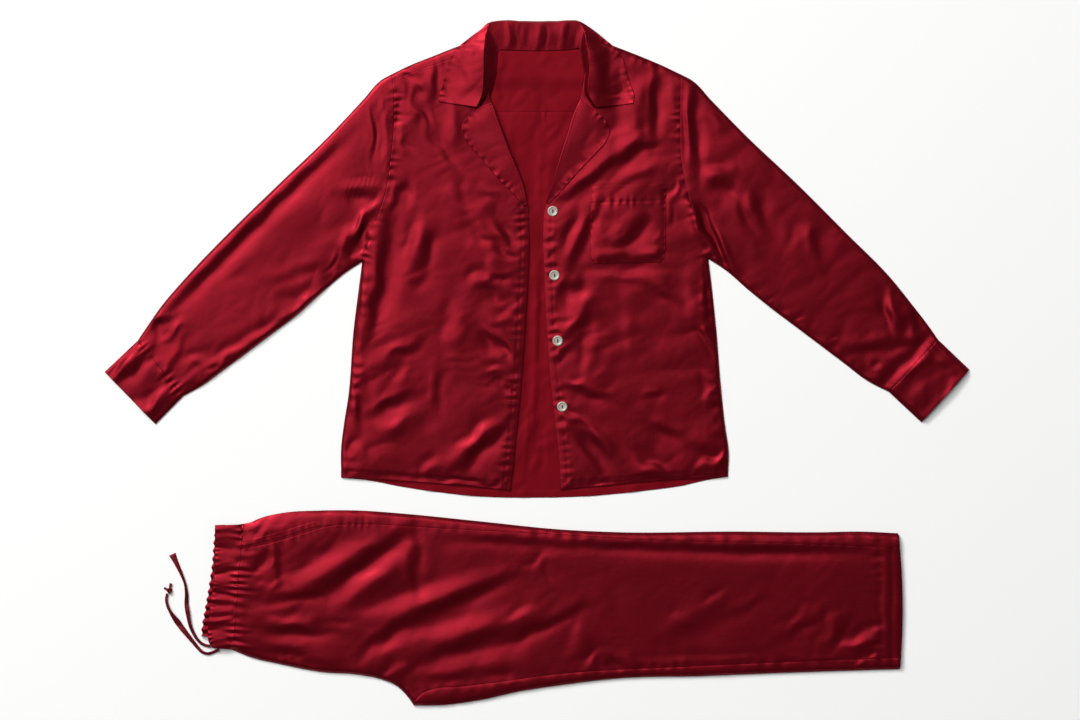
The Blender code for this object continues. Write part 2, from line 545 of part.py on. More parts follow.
def tube_wall(name, outer, inner, material):
    """A closed wall between two grids of rings, open at both ends."""
    rows, columns = outer.shape[:2]
    count = rows * columns
    corners = cells(rows, columns, close=True)
    faces = [triangles(corners), triangles(corners, flip=True) + count]
    for row, flip in ((0, True), (rows - 1, False)):
        ring = row * columns + np.arange(columns)
        after = np.roll(ring, -1)
        band = [np.stack([ring, after, after + count], 1),
                np.stack([ring, after + count, ring + count], 1)]
        faces += [part[:, ::-1] if flip else part for part in band]
    vertices = np.concatenate([outer.reshape(-1, 3), inner.reshape(-1, 3)])
    return oriented(add_mesh(name, vertices, np.concatenate(faces).tolist(), material))


def loft(name, rings, material):
    """A closed solid through rings of points, with a flat face over each end."""
    rows, columns = rings.shape[:2]
    faces = triangles(cells(rows, columns, close=True)).tolist()
    faces.append(list(range(columns))[::-1])
    faces.append(list(range((rows - 1) * columns, rows * columns)))
    return oriented(add_mesh(name, rings.reshape(-1, 3), faces, material))


def signed_volume(mesh):
    """Volume inside a mesh, negative where its faces point inwards."""
    total = 0.0
    mesh.calc_loop_triangles()
    for triangle in mesh.loop_triangles:
        a, b, c = (mesh.vertices[index].co for index in triangle.vertices)
        total += a.dot(b.cross(c)) / 6
    return total


def oriented(thing):
    """The object with its faces turned outwards."""
    if signed_volume(thing.data) < 0:
        thing.data.flip_normals()
    return thing


def tree_of(things):
    """A search tree over several objects' faces, for laying one piece on another."""
    vertices, faces = [], []
    for thing in things:
        start = len(vertices)
        vertices += [vertex.co.copy() for vertex in thing.data.vertices]
        faces += [[start + index for index in face.vertices] for face in thing.data.polygons]
    return BVHTree.FromPolygons(vertices, faces)


def laid_on(tree, points, reach=4 * MM, least=0.0):
    """Height just over whatever lies below each place, its near surroundings included."""
    heights = np.full(points.shape[:-1], least)
    near = reach * 0.7
    offsets = [(0, 0), (reach, 0), (-reach, 0), (0, reach), (0, -reach),
               (near, near), (-near, near), (near, -near), (-near, -near)]
    for place in np.ndindex(points.shape[:-1]):
        x, y = points[place] * CM
        for dx, dy in offsets:
            hit = tree.ray_cast(Vector((x + dx, y + dy, 0.1)), Vector((0, 0, -1)))[0]
            if hit is not None:
                heights[place] = max(heights[place], hit.z)
    return heights + GAP


# ------------------------------------------------------------------ shirt
ARM_STEPS = 7                  # stations on the armhole below the yoke seam
FRONT_ROWS = 12                # rows of a front below the underarm
FRONT_COLUMNS = 13
BACK_ROWS = 5
BACK_COLUMNS = 10
SLEEVE_ROWS = 17


def arm_stations(side):
    """Places on the armhole: underarm, up to the yoke seam, forward seam, shoulder."""
    low, high = ARMHOLE[side][0][1], ARMHOLE[side][-1][1]
    upper = [YOKE_Y + (FORWARD_LEVEL[side] - YOKE_Y) / 2, FORWARD_LEVEL[side], high]
    levels = np.concatenate([np.linspace(low, YOKE_Y, ARM_STEPS + 1), upper])
    return np.stack([read_at(ARMHOLE[side], levels, axis=1), levels], 1)


def forward_seam(side):
    """Table of the seam in front of the shoulder, from the armhole to the neck."""
    return [tuple(arm_stations(side)[-2])] + FORWARD_SEAM[side] + [FRONT_EDGE[side][-1]]


def side_points(side, rows):
    """Places up the side seam, from the hem to just under the underarm."""
    low, high = SIDE_SEAM[side][0][1], SIDE_SEAM[side][-1][1]
    levels = np.linspace(low, high, rows + 1)[:-1]
    return np.stack([read_at(SIDE_SEAM[side], levels, axis=1), levels], 1)


def seam_gap_shares(count, width, first=True, last=True):
    """Shares from 0 to 1, pulled in by half a seam gap at the ends that meet a seam."""
    inset = GAP / 2 / (width * CM)
    return np.linspace(inset if first else 0.0, 1 - inset if last else 1.0, count)


def under_face(upper):
    """Lower face of a second layer: one wall down, and never far off the back."""
    lower = upper.copy()
    limit = BACK_TOP + INNER_GAP + fall_lift(upper[..., :2] / CM, UPPER_SPREAD)
    lower[..., 2] = np.minimum(upper[..., 2] - WALL, limit)
    return lower


def shirt_back():
    """Back panel, flat on the surface, from the curved hem to the yoke seam."""
    sides = [np.concatenate([side_points(side, BACK_ROWS), arm_stations(side)[:ARM_STEPS + 1]])
             for side in ("right", "left")]
    shares = seam_gap_shares(BACK_COLUMNS, BACK_WIDTH)
    hem = along(BACK_HEM, shares)
    top = ruled(sides[0][-1:], sides[1][-1:], shares)[0]
    stations = np.linspace(0, 1, len(sides[0]))
    points = patch(sides[0], sides[1], hem, top, shares, stations)
    points[-1, :, 1] -= GAP / 2 / CM
    return wall("shirt_back", in_space(points, BACK_TOP), in_space(points, 0.0), SATIN_INSIDE)


def back_yoke():
    """Yoke over the shoulders, lifted near the neck by the collar's fall below it."""
    low = [arm_stations(side)[ARM_STEPS:] for side in ("right", "left")]
    across = np.linspace(0, 1, 19)
    top = np.concatenate([along(SHOULDER["right"], np.linspace(0, 1, 6)),
                          along(NECK_SEAM, np.linspace(0, 1, 9))[1:-1],
                          along(SHOULDER["left"], np.linspace(1, 0, 6))])
    bottom = ruled(low[0][:1], low[1][:1], across)[0]
    side_shares = (low[0][:, 1] - YOKE_Y) / (low[0][-1, 1] - YOKE_Y)
    points = patch(low[0], low[1], bottom, top, across, side_shares)
    points[0, :, 1] += GAP / 2 / CM
    points[:, 0, 0] += GAP / 2 / CM
    points[:, -1, 0] -= GAP / 2 / CM
    lift = fall_lift(points)
    return wall("shirt_back_yoke", in_space(points, BACK_TOP + lift), in_space(points, lift),
                SATIN_INSIDE)


def yoke_shoulder(side):
    """The strip of the yoke that comes over the shoulder fold to the forward seam."""
    shares = np.linspace(0, 1, 9)
    fold = along(SHOULDER[side], shares)
    seam = along(forward_seam(side), shares)
    inward = -1 if side == "left" else 1
    fold[0, 0] += inward * GAP / 2 / CM
    seam[0, 0] += inward * GAP / 2 / CM
    points = ruled(fold, seam, [0.0, 0.35, 0.96])
    upper = in_space(points, shirt_top(points))
    return wall(f"yoke_shoulder_{side}", upper, under_face(upper), SATIN)


def shirt_front(side):
    """A front: sections from the side seam and armhole to the front edge and roll line."""
    outer = np.concatenate([side_points(side, FRONT_ROWS), arm_stations(side)[:-1]])
    low, high = FRONT_EDGE[side][0][1], FRONT_EDGE[side][-1][1]
    rise = (outer[:, 1] - outer[0, 1]) / (outer[-1, 1] - outer[0, 1])
    level = low + (high - low) * rise
    inner = np.stack([read_at(FRONT_EDGE[side], level, axis=1), level], 1)
    shares = seam_gap_shares(FRONT_COLUMNS, FRONT_WIDTH, last=False)
    hem = ruled(outer[:1], inner[:1], shares)[0]
    hem[:, 1] += FRONT_HEM_SAG * np.sin(np.pi * shares)
    top = along(forward_seam(side), shares)
    points = patch(outer, inner, hem, top, shares, rise)
    points[-1, :, 1] -= GAP / 2 / CM
    upper = in_space(points, shirt_top(points))
    return wall(f"shirt_front_{side}", upper, under_face(upper), SATIN)


def flattened_ring(points, height, width):
    """Rings of a flattened tube: along the surface, round the far edge, back over the top.

    `points` are rows of places from the lower to the upper edge, `height` is the
    upper face over them and `width` their spread in cm.  Returns the outer rings and
    the inner rings.
    """
    edge = EDGE_BULGE / (width * CM)
    flat = points.copy()
    flat[:, 0] = points[:, 0] * (1 - edge) + points[:, -1] * edge
    flat[:, -1] = points[:, -1] * (1 - edge) + points[:, 0] * edge
    middle = EDGE_TOP / 2
    outer = np.concatenate([in_space(flat, 0.0), in_space(points[:, -1:], middle),
                            in_space(flat, height)[:, ::-1], in_space(points[:, :1], middle)], 1)
    depth = 2.1 * edge
    tucked = flat.copy()
    tucked[:, 0] = points[:, 0] * (1 - depth) + points[:, -1] * depth
    tucked[:, -1] = points[:, -1] * (1 - depth) + points[:, 0] * depth
    tip = 1.2 * edge
    near = points[:, :1] * (1 - tip) + points[:, -1:] * tip
    far = points[:, -1:] * (1 - tip) + points[:, :1] * tip
    ceiling = np.minimum(height - WALL, BACK_TOP + INNER_GAP)
    inner = np.concatenate([in_space(tucked, WALL), in_space(far, middle),
                            in_space(tucked, ceiling)[:, ::-1], in_space(near, middle)], 1)
    return outer, inner


def sleeve(side):
    """A sleeve: a flattened tube from the cuff seam to the curved armhole."""
    armhole = arm_stations(side)
    shares = (armhole[:, 1] - armhole[0, 1]) / (armhole[-1, 1] - armhole[0, 1])
    stations = seam_gap_shares(SLEEVE_ROWS, SLEEVE_LENGTH)
    under = along(SLEEVE_UNDER[side], 1 - stations)
    over = along(SLEEVE_OVER[side], 1 - stations)
    cuff = ruled(under[:1], over[:1], shares)[0]
    armhole[0], armhole[-1] = under[-1], over[-1]
    points = patch(under, over, cuff, armhole, shares, stations)
    # the last row keeps half a seam gap to the armhole
    outward = 1 if side == "left" else -1
    points[-1, :, 0] += outward * GAP / 2 / CM
    height = shirt_top(points)
    outer, inner = flattened_ring(points, height, SLEEVE_WIDTH)
    return tube_wall(f"sleeve_{side}", outer, inner, SATIN)


def cuff(side):
    """A straight cuff: a flattened tube from the sleeve's seam to its open end."""
    shares = np.linspace(0, 1, 7)
    stations = np.array([GAP / (CUFF_LENGTH * CM), 0.3, 0.65, 1.0])
    start = np.array([SLEEVE_UNDER[side][-1], SLEEVE_OVER[side][-1]])
    end = np.array(CUFF_END[side])
    low = start[:1] * (1 - stations[:, None]) + end[:1] * stations[:, None]
    high = start[1:] * (1 - stations[:, None]) + end[1:] * stations[:, None]
    points = ruled(low, high, shares)
    height = EDGE_TOP + CUFF_LOFT * np.sin(np.pi * shares)[None, :] * np.ones((len(stations), 1))
    outer, inner = flattened_ring(points, height, CUFF_WIDTH)
    return tube_wall(f"cuff_{side}", outer, inner, SATIN)


def collar_fall():
    """The hidden part of the collar that falls behind the back neck, on the surface."""
    shares = np.linspace(0, 1, 9)
    top = along([(-7.3, 48.0), (-5.2, 48.6), (0.0, 48.8), (5.0, 48.6), (7.1, 48.0)], shares)
    edge = along([(-9.0, 42.6), (-4.5, 42.0), (0.0, 41.8), (4.5, 42.0), (9.0, 42.6)], shares)
    points = ruled(edge, top, [0.0, 0.5, 1.0])
    return wall("collar_fall", in_space(points, WALL), in_space(points, 0.0), SATIN)


def collar(below):
    """Collar: both leaves on the fronts, joined by the band that shows inside the back neck."""
    table = np.array(COLLAR_SECTIONS)
    shares = np.linspace(0, 1, 37)
    sections = spans(np.linspace(0, 1, len(table)), table, shares)
    points = ruled(sections[:, :2], sections[:, 2:], [0.0, 0.12, 0.4, 0.7, 0.93, 1.0])
    lower = laid_on(below, points, reach=COLLAR_REACH, least=WALL)
    # the roll line stands up a little, the outer edge lies close
    roll = np.exp(-((np.arange(6) - 0.6) / 1.3) ** 2)[None, :]
    leaf = smooth_step((np.abs(shares - 0.5) - 0.2) / 0.1)[:, None]
    lower = lower + ROLL_RISE * roll * leaf
    gathers = COLLAR_GATHER * (1 + np.cos(shares * 2 * np.pi * COLLAR_GATHERS))[:, None]
    lower = lower + gathers * (1 - leaf)
    lower = smoothed(lower)
    return wall("collar", in_space(points, lower + WALL), in_space(points, lower), SATIN)


def smoothed(heights):
    """Heights with dips filled towards their neighbours, and never lowered."""
    padded = np.pad(heights, 1, mode="edge")
    around = (padded[:-2, 1:-1] + padded[2:, 1:-1] + padded[1:-1, :-2] + padded[1:-1, 2:]) / 4
    return np.maximum(heights, around)


def lapel_facing(side, below):
    """A lapel: the facing turned back over the front along the roll line."""
    shares = np.linspace(0, 1, 13)
    roll = along(LAPEL[side]["roll"], shares)
    edge = along(LAPEL[side]["edge"], shares)
    points = ruled(roll, edge, [0.0, 0.2, 0.55, 0.85, 1.0])
    lower = laid_on(below, points, least=EDGE_TOP)
    stand = np.array([0.5, 0.9, 0.6, 0.2, 0.0])[None, :] * MM
    lower = smoothed(lower + stand * np.sin(np.pi * shares ** 0.8)[:, None])
    return wall(f"lapel_facing_{side}", in_space(points, lower + WALL), in_space(points, lower),
                SATIN)


def chest_pocket(below):
    """The patch pocket, made from the front's own surface, moved out."""
    across, up = np.linspace(0, 1, 13), np.linspace(0, 1, 13)
    a, b, c, d = (np.array(corner) for corner in POCKET_CORNERS)
    low = a * (1 - across[:, None]) + b * across[:, None]
    high = d * (1 - across[:, None]) + c * across[:, None]
    points = ruled(low, high, up).transpose(1, 0, 2)
    # the lower corners are rounded
    round_off = 0.9 * np.exp(-up[:, None] / 0.06)
    points[..., 0] += round_off * (np.exp(-across / 0.05) - np.exp(-(1 - across) / 0.05))[None, :]
    lower = laid_on(below, points, reach=6 * MM)
    return wall("chest_pocket", in_space(points, lower + WALL), in_space(points, lower), SATIN)


def button(number, place, below):
    """A two-hole shell button: a turned disc with a raised rim, drilled twice."""
    points = np.array(place)[None, :] + 0.5 * np.array([(0, 0), (1, 0), (-1, 0), (0, 1), (0, -1)])
    base = laid_on(below, points, reach=3.5 * MM).max()
    profile = np.array([(0.86, 0.0), (1.0, 0.35), (1.0, 0.7), (0.86, 1.0), (0.68, 0.94),
                        (0.52, 0.62)])
    turn = np.linspace(0, 2 * np.pi, BUTTON_SIDES, endpoint=False)
    rings = np.stack([np.outer(profile[:, 0], np.cos(turn)) * BUTTON_RADIUS,
                      np.outer(profile[:, 0], np.sin(turn)) * BUTTON_RADIUS,
                      np.outer(profile[:, 1], np.ones(BUTTON_SIDES)) * BUTTON_THICK], -1)
    disc = loft(f"button_{number}", rings, PEARL)
    disc.location = (place[0] * CM, place[1] * CM, base)
    for half in (-1, 1):
        drill_hole(disc, half * HOLE_OFFSET)


def drill_hole(thing, offset):
    """A thread hole at `offset` along Y, cut right through by a six-sided cutter."""
    turn = np.linspace(0, 2 * np.pi, HOLE_SIDES, endpoint=False)
    ring = np.stack([np.cos(turn) * BUTTON_HOLE, np.sin(turn) * BUTTON_HOLE], 1)
    ends = (-2 * BUTTON_THICK, 3 * BUTTON_THICK)
    rings = np.stack([np.column_stack([ring, np.full(HOLE_SIDES, z)]) for z in ends])
    cutter = loft(f"cutter_{thing.name}_{len(thing.modifiers)}", rings, PEARL)
    cutter.parent = thing
    cutter.location = (0.0, offset, 0.0)
    cutter.hide_render = True
    cutter.display_type = "WIRE"
    cut = thing.modifiers.new("thread_hole", "BOOLEAN")
    cut.operation = "DIFFERENCE"
    cut.object = cutter


# ------------------------------------------------------------------ trousers
LEG_BODY_STEPS = 11            # steps from the waist to the crotch
LEG_STEPS = 19                 # steps from the crotch to the hem
LEG_COLUMNS = 11               # places across the front panel
POCKET_STEPS = 7               # sections that the pocket backing spans
WAIST_X = (-43.45, -42.05)     # cm, waist end at the lower and the upper edge
HEM_X = (51.8, 51.6)           # cm, hem at the lower and the upper edge


def leg_sections():
    """Ends of every section: outline, front seam, side seam and outline again, in cm.

    Two sections stand close together where the pocket backing ends, so that the
    layers below can step up there to the level of the front panel.
    """
    body = np.linspace(WAIST_X[0], CROTCH_X, LEG_BODY_STEPS + 1)
    body = np.insert(body, POCKET_STEPS, body[POCKET_STEPS - 1] + 2 * GAP / CM)
    leg = np.linspace(CROTCH_X, HEM_X[0], LEG_STEPS + 1)[1:]
    low_x = np.concatenate([body, leg])
    high_x = np.interp(low_x, [WAIST_X[0], CROTCH_X, HEM_X[0]], [WAIST_X[1], CROTCH_X, HEM_X[1]])
    bottom = np.concatenate([read_at(BODY_BOTTOM, body), read_at(LEG_BOTTOM, leg)])
    front = np.concatenate([read_at(CROTCH_SEAM, body), read_at(LEG_INSEAM, leg)])
    side = read_at(LEG_SIDE_SEAM, high_x)
    top = read_at(LEG_TOP, high_x)
    return [np.stack(pair, 1) for pair in ((low_x, bottom), (low_x, front),
                                           (high_x, side), (high_x, top))]


def front_grid():
    """Places of the front panel, half a seam gap inside its seams, bowed out at the hem."""
    _, front, side, _ = leg_sections()
    points = ruled(front, side, seam_gap_shares(LEG_COLUMNS, PANEL_WIDTH))
    across = np.linspace(0, 1, LEG_COLUMNS)[None, :]
    stations = np.linspace(0, 1, len(points))[:, None]
    points[..., 0] += HEM_BOW * np.sin(np.pi * across) * np.exp(-(1 - stations) * 12)
    return points


def trouser_front():
    """The front panel of the left leg, on top of the folded layers."""
    points = front_grid()
    height = leg_top(points)
    return wall("trouser_front_left", in_space(points, height), in_space(points, height - WALL),
                SATIN)


def side_pocket():
    """The pocket's backing, which shows between the slanted opening and the side fold."""
    _, _, side, top = leg_sections()
    side, top = side[:POCKET_STEPS], top[:POCKET_STEPS]
    points = ruled(side, top, [0.03, 0.3, 0.6, 0.9])
    height = leg_top(points)
    return wall("side_pocket_left", in_space(points, height), in_space(points, height - WALL),
                SATIN)


def folded_layers():
    """The layers hidden by the fold: one rounded solid, layered at its edges.

    Beyond the inseam and the side seam it comes up to the level of the front
    panel, because the back of the leg wraps over both folds there.
    """
    bottom, front, side, top = leg_sections()
    rows = len(bottom)
    grid = front_grid()
    step = GAP * 1.2 / CM
    recess = np.concatenate([grid[:, :1], grid, grid[:, -1:]], 1)
    recess[:, 0, 1] -= step
    recess[:, -1, 1] += step
    recess_z = leg_top(grid) - WALL - GAP
    recess_z = np.concatenate([recess_z[:, :1], recess_z, recess_z[:, -1:]], 1)
    lows = strip_points(bottom, front, step)
    highs = strip_points(top, side, -step)
    has_low = (np.arange(rows) > LEG_BODY_STEPS + 1)[:, None]
    has_high = (np.arange(rows) >= POCKET_STEPS)[:, None]
    low_z = np.where(has_low, leg_top(lows), LEG_STACK - 0.3 * MM)
    high_z = np.where(has_high, leg_top(highs), LEG_STACK - 0.3 * MM)
    flat = np.ones((rows, 1))
    layered = [(0.12, 0.0), (0.0, 0.25), (0.13, 0.5), (0.0, 0.76)]
    low_side = [(bottom + [0, inset], LEG_STACK * level * flat[:, 0]) for inset, level in layered]
    high_side = [(top - [0, inset], LEG_STACK * level * flat[:, 0]) for inset, level in layered]
    rings = [in_space(places, height)[:, None] for places, height in low_side]
    rings += [in_space(lows, low_z), in_space(recess, recess_z), in_space(highs, high_z)[:, ::-1]]
    rings += [in_space(places, height)[:, None] for places, height in high_side[::-1]]
    rings = np.concatenate(rings, 1)
    return loft("trouser_folded_layers", rings, SATIN)


def strip_points(outline, seam, step):
    """Two places between the outline and a seam: just inside the fold, and at the seam."""
    inside = outline * 0.85 + seam * 0.15
    at_seam = seam - np.array([0.0, step])
    return np.stack([inside, at_seam], 1)


def waist_gathers(points, share):
    """Uneven folds that run across the waistband, where the elastic draws it in."""
    wave = np.sin(2 * np.pi * (BAND_GATHERS * share + 0.35 * np.sin(2 * np.pi * share)))
    return BAND_GATHER * wave


def waistband():
    """The gathered waistband's upper half, from the leg seam to the waist edge."""
    around = np.linspace(0, 1, 4 * BAND_GATHERS + 1)
    seam = along(WAIST_SEAM, around)
    edge = along(WAIST_EDGE, around)
    points = ruled(seam, edge, [GAP / (BAND_LENGTH * CM), 0.25, 0.5, 0.75, 1.0])
    gathers = waist_gathers(points, around)[:, None]
    crown = np.array([1.0, 1.5, 1.6, 1.4, 0.6])[None, :] * MM
    fade = np.sin(np.pi * np.clip(around, 0.02, 0.98))[:, None] ** 0.4
    height = BAND_STACK + GAP + BAND_GATHER + WALL + gathers * fade + crown
    return wall("waistband", in_space(points, height), in_space(points, height - WALL), SATIN)


def waistband_folded():
    """The waistband's hidden layers, with the ruffled edge that shows past the waist."""
    around = np.linspace(0, 1, 4 * RUFFLE_SCALLOPS + 1)
    seam = along(WAIST_SEAM, around)
    edge = along(WAIST_EDGE, around)
    seam_side = seam + (edge - seam) * GAP / (BAND_LENGTH * CM)
    reach = np.interp(around, [0, 1], RUFFLE_OUT) - 0.25
    scallop = 0.22 * np.abs(np.sin(np.pi * RUFFLE_SCALLOPS * around / RUFFLE_END))
    past = np.where(around < RUFFLE_END, reach + scallop, 0.0)
    out = edge - np.stack([past, np.zeros_like(around)], 1)
    low = out + [0.12, 0.0]
    flat = np.ones(len(around))
    rings = [in_space(seam_side, 0.0 * flat), in_space(low, 0.0 * flat),
             in_space(out, 1.3 * MM * flat), in_space(low, 2.6 * MM * flat),
             in_space(out, 3.9 * MM * flat), in_space(edge, BAND_STACK * flat),
             in_space(seam_side, BAND_STACK * flat)]
    return loft("waistband_folded_layers", np.stack(rings, 1), SATIN)


# ------------------------------------------------------------------ drawstring
def tape(name, table):
    """A tail of the drawstring: a curve with a round section and filled caps."""
    shares = np.linspace(0, 1, 15)
    places = along(table, shares)
    shape = bpy.data.curves.new(name, "CURVE")
    shape.dimensions = "3D"
    shape.bevel_depth = TAPE_RADIUS
    shape.bevel_resolution = 2
    shape.use_fill_caps = True
    spline = shape.splines.new("POLY")
    spline.points.add(len(places) - 1)
    for point, (x, y, z) in zip(spline.points, places):
        point.co = (x * CM, y * CM, z * MM, 1.0)
    shape.materials.append(TAPE)
    thing = bpy.data.objects.new(name, shape)
    bpy.context.scene.collection.objects.link(thing)
    return thing


def knot():
    """The overhand knot at the end of one tail, as a flattened ball."""
    turn = np.linspace(0, 2 * np.pi, 10, endpoint=False)
    climb = np.radians([-68, -30, 0, 30, 68])
    a, b, c = KNOT_RADII
    rings = np.stack([np.outer(np.cos(climb), np.cos(turn)) * a + KNOT_PLACE[0] * CM,
                      np.outer(np.cos(climb), np.sin(turn)) * b + KNOT_PLACE[1] * CM,
                      np.outer(np.sin(climb), np.ones(10)) * c + c], -1)
    return loft("drawstring_knot", rings, TAPE)


# ------------------------------------------------------------------ build
def clear_scene():
    """Removes every object that the scene starts with."""
    for thing in list(bpy.data.objects):
        bpy.data.objects.remove(thing, do_unlink=True)


def build_shirt():
    """Every piece of the shirt, from the surface up."""
    shirt_back()
    back_yoke()
    collar_fall()
    fronts = {}
    strips = []
    for side in ("right", "left"):
        strips.append(yoke_shoulder(side))
        fronts[side] = shirt_front(side)
        sleeve(side)
        cuff(side)
    for side in ("right", "left"):
        lapel_facing(side, tree_of([fronts[side]]))
    facings = [bpy.data.objects[f"lapel_facing_{side}"] for side in ("right", "left")]
    collar(tree_of(list(fronts.values()) + strips + facings
                   + [bpy.data.objects["shirt_back_yoke"], bpy.data.objects["collar_fall"]]))
    chest_pocket(tree_of([fronts["left"]]))
    for number, place in enumerate(BUTTON_PLACES, 1):
        button(number, place, tree_of([fronts["left"]]))


def build_trousers():
    """The folded trousers, their waistband and its drawstring."""
    folded_layers()
    trouser_front()
    side_pocket()
    waistband_folded()
    waistband()
    tape("drawstring_a", TAPE_A)
    tape("drawstring_b", TAPE_B)
    knot()


clear_scene()
build_shirt()
build_trousers()
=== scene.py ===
# %% [markdown]
# # A satin pyjama set, laid flat
# The set is a long-sleeved shirt with a camp collar, and trousers on a
# drawstring. Both lie on a pale table, and a camera looks straight down.
# Each piece of cloth is a grid of places worked out with numpy, lifted by
# height fields that carry the folds, seams and puckers. The solids that are
# loaded first have the same outlines and levels, with only the largest folds.

# %% Load the measured solids
import json
import math

import bpy
import numpy as np
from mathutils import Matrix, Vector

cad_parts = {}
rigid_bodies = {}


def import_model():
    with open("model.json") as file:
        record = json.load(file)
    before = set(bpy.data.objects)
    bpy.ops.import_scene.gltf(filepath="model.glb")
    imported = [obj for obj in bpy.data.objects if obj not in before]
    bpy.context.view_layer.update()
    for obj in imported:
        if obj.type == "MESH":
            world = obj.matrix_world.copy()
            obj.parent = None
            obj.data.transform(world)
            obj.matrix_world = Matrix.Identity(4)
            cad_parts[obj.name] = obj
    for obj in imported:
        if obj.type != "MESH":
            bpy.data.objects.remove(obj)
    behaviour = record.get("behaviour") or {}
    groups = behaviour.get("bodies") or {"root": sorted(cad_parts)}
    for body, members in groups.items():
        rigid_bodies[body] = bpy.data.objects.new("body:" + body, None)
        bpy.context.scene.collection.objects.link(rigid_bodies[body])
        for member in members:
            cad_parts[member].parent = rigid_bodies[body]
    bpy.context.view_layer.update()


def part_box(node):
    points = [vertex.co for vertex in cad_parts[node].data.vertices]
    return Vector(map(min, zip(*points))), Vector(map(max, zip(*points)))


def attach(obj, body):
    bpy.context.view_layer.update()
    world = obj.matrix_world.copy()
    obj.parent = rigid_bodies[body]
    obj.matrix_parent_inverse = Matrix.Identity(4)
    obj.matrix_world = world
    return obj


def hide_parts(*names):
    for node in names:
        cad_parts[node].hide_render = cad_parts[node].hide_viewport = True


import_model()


# %% [markdown]
# ## Camera
# Flat lays are shot from a copy stand: the camera hangs over the middle of the
# table with a long lens, so nothing leans outwards. The width of the view is
# fixed first, and the height of the camera follows from the lens.

# %% Camera straight above
VIEW_WIDTH = 1.5444           # metres of table across the picture
VIEW_MIDDLE = (0.0043, 0.0036)   # metres
LENS, SENSOR = 85.0, 36.0     # millimetres


def placed(name, data):
    """A new object with this data, linked into the scene."""
    thing = bpy.data.objects.new(name, data)
    bpy.context.scene.collection.objects.link(thing)
    return thing


camera_data = bpy.data.cameras.new("copy_stand_camera")
camera_data.lens, camera_data.sensor_width = LENS, SENSOR
camera = placed("copy_stand_camera", camera_data)
camera.location = (*VIEW_MIDDLE, VIEW_WIDTH * LENS / SENSOR)
bpy.context.scene.camera = camera
print("camera height:", round(camera.location.z, 3), "m")

# %% [markdown]
# ## Colours and nodes
# Colours are picked as sRGB hex values, the way a dyer's chart gives them, and
# light adds up in linear values, so one function turns the first into the
# second. One more starts a material, and a third adds a node with its settings
# and its links.

# %% Helpers for colours and nodes
def linear(colour):
    """sRGB hex to linear RGBA: c / 12.92 up to 0.04045, else ((c + 0.055) / 1.055) ^ 2.4."""
    value = np.array([int(colour[i:i + 2], 16) / 255 for i in (1, 3, 5)])
    value = np.where(value <= 0.04045, value / 12.92, ((value + 0.055) / 1.055) ** 2.4)
    return (*(float(v) for v in value), 1.0)


def new_finish(name, values):
    """A material whose Principled shader has these values: itself, its tree and the shader."""
    material = bpy.data.materials.new(name)
    material.use_nodes = True
    shader = material.node_tree.nodes["Principled BSDF"]
    for key, value in values.items():
        shader.inputs[key].default_value = value
    return material, material.node_tree, shader


def add_node(tree, kind, values=None, links=None, **settings):
    """A new node: `settings` are its options, `values` its sockets, `links` what feeds them."""
    node = tree.nodes.new(kind)
    for key, value in settings.items():
        setattr(node, key, value)
    for key, value in (values or {}).items():
        node.inputs[key].default_value = value
    for key, source in (links or {}).items():
        tree.links.new(source, node.inputs[key])
    return node


print("crimson in linear light:", [round(v, 3) for v in linear("#7d1420")[:3]])

# %% [markdown]
# ## Table and light
# The table is a sheet of matt white board. A large soft lamp hangs at the upper
# left, so each fold has a bright side and a dark one, and a pale room fills in
# the shadows. Satin is read by its light, so the lamp is placed with care.

# %% Table and lamps
TABLE_SIZE = 6.0              # metres, past every edge of the view
TABLE_DROP = 0.0002           # metres, just below the cloth that rests on it
bpy.context.scene.view_settings.view_transform = "Standard"

board_mesh = bpy.data.meshes.new("table_board")
half = TABLE_SIZE / 2
board_mesh.from_pydata([(-half, -half, 0), (half, -half, 0), (half, half, 0), (-half, half, 0)],
                       [], [(0, 1, 2, 3)])
board = placed("table_board", board_mesh)
board.location.z = -TABLE_DROP
# Matt white board: uncoated paper, no gloss, a little tooth
paper = new_finish("matt_white_board", {"Base Color": linear("#f6f6f5"), "Roughness": 0.9,
                                        "Specular IOR Level": 0.2})[0]
board_mesh.materials.append(paper)


def lamp(name, lean, turn, away, size, light):
    """A square area lamp that faces the middle of the set.

    It is `away` metres off, `lean` degrees from upright, towards `turn` degrees from +X.
    `light` is the brightness of a white board under it, so power = light pi^2 away^2 / cos lean.
    """
    data = bpy.data.lights.new(name, "AREA")
    tilt, way = math.radians(lean), math.radians(turn)
    data.size, data.energy = size, light * math.pi ** 2 * away ** 2 / math.cos(tilt)
    thing = placed(name, data)
    thing.location = (away * math.sin(tilt) * math.cos(way), away * math.sin(tilt) * math.sin(way),
                      away * math.cos(tilt))
    thing.rotation_euler = (tilt, 0, way + math.pi / 2)


lamp("soft_window", lean=36, turn=132, away=12.0, size=12.0, light=0.80)
lamp("window_sun", lean=55, turn=128, away=9.0, size=2.2, light=0.32)
room = bpy.data.worlds.new("pale_room")
room.use_nodes = True
room.node_tree.nodes["Background"].inputs["Color"].default_value = linear("#f7f8fa")
room.node_tree.nodes["Background"].inputs["Strength"].default_value = 0.15
bpy.context.scene.world = room

# %% [markdown]
# ## Satin
# Polyester satin is woven from bright filament with long floats on its face.
# The floats lie side by side like brushed hair, so its gloss is soft and takes
# the dye's own colour, unlike varnish, whose gloss is white. A metallic share
# in the shader tints the gloss. The reverse shows short floats and is duller.
# A thread is 0.1 mm, far too fine to show here, so the slubs, the slightly
# thicker filaments that run with the warp, are drawn 1.2 mm wide.

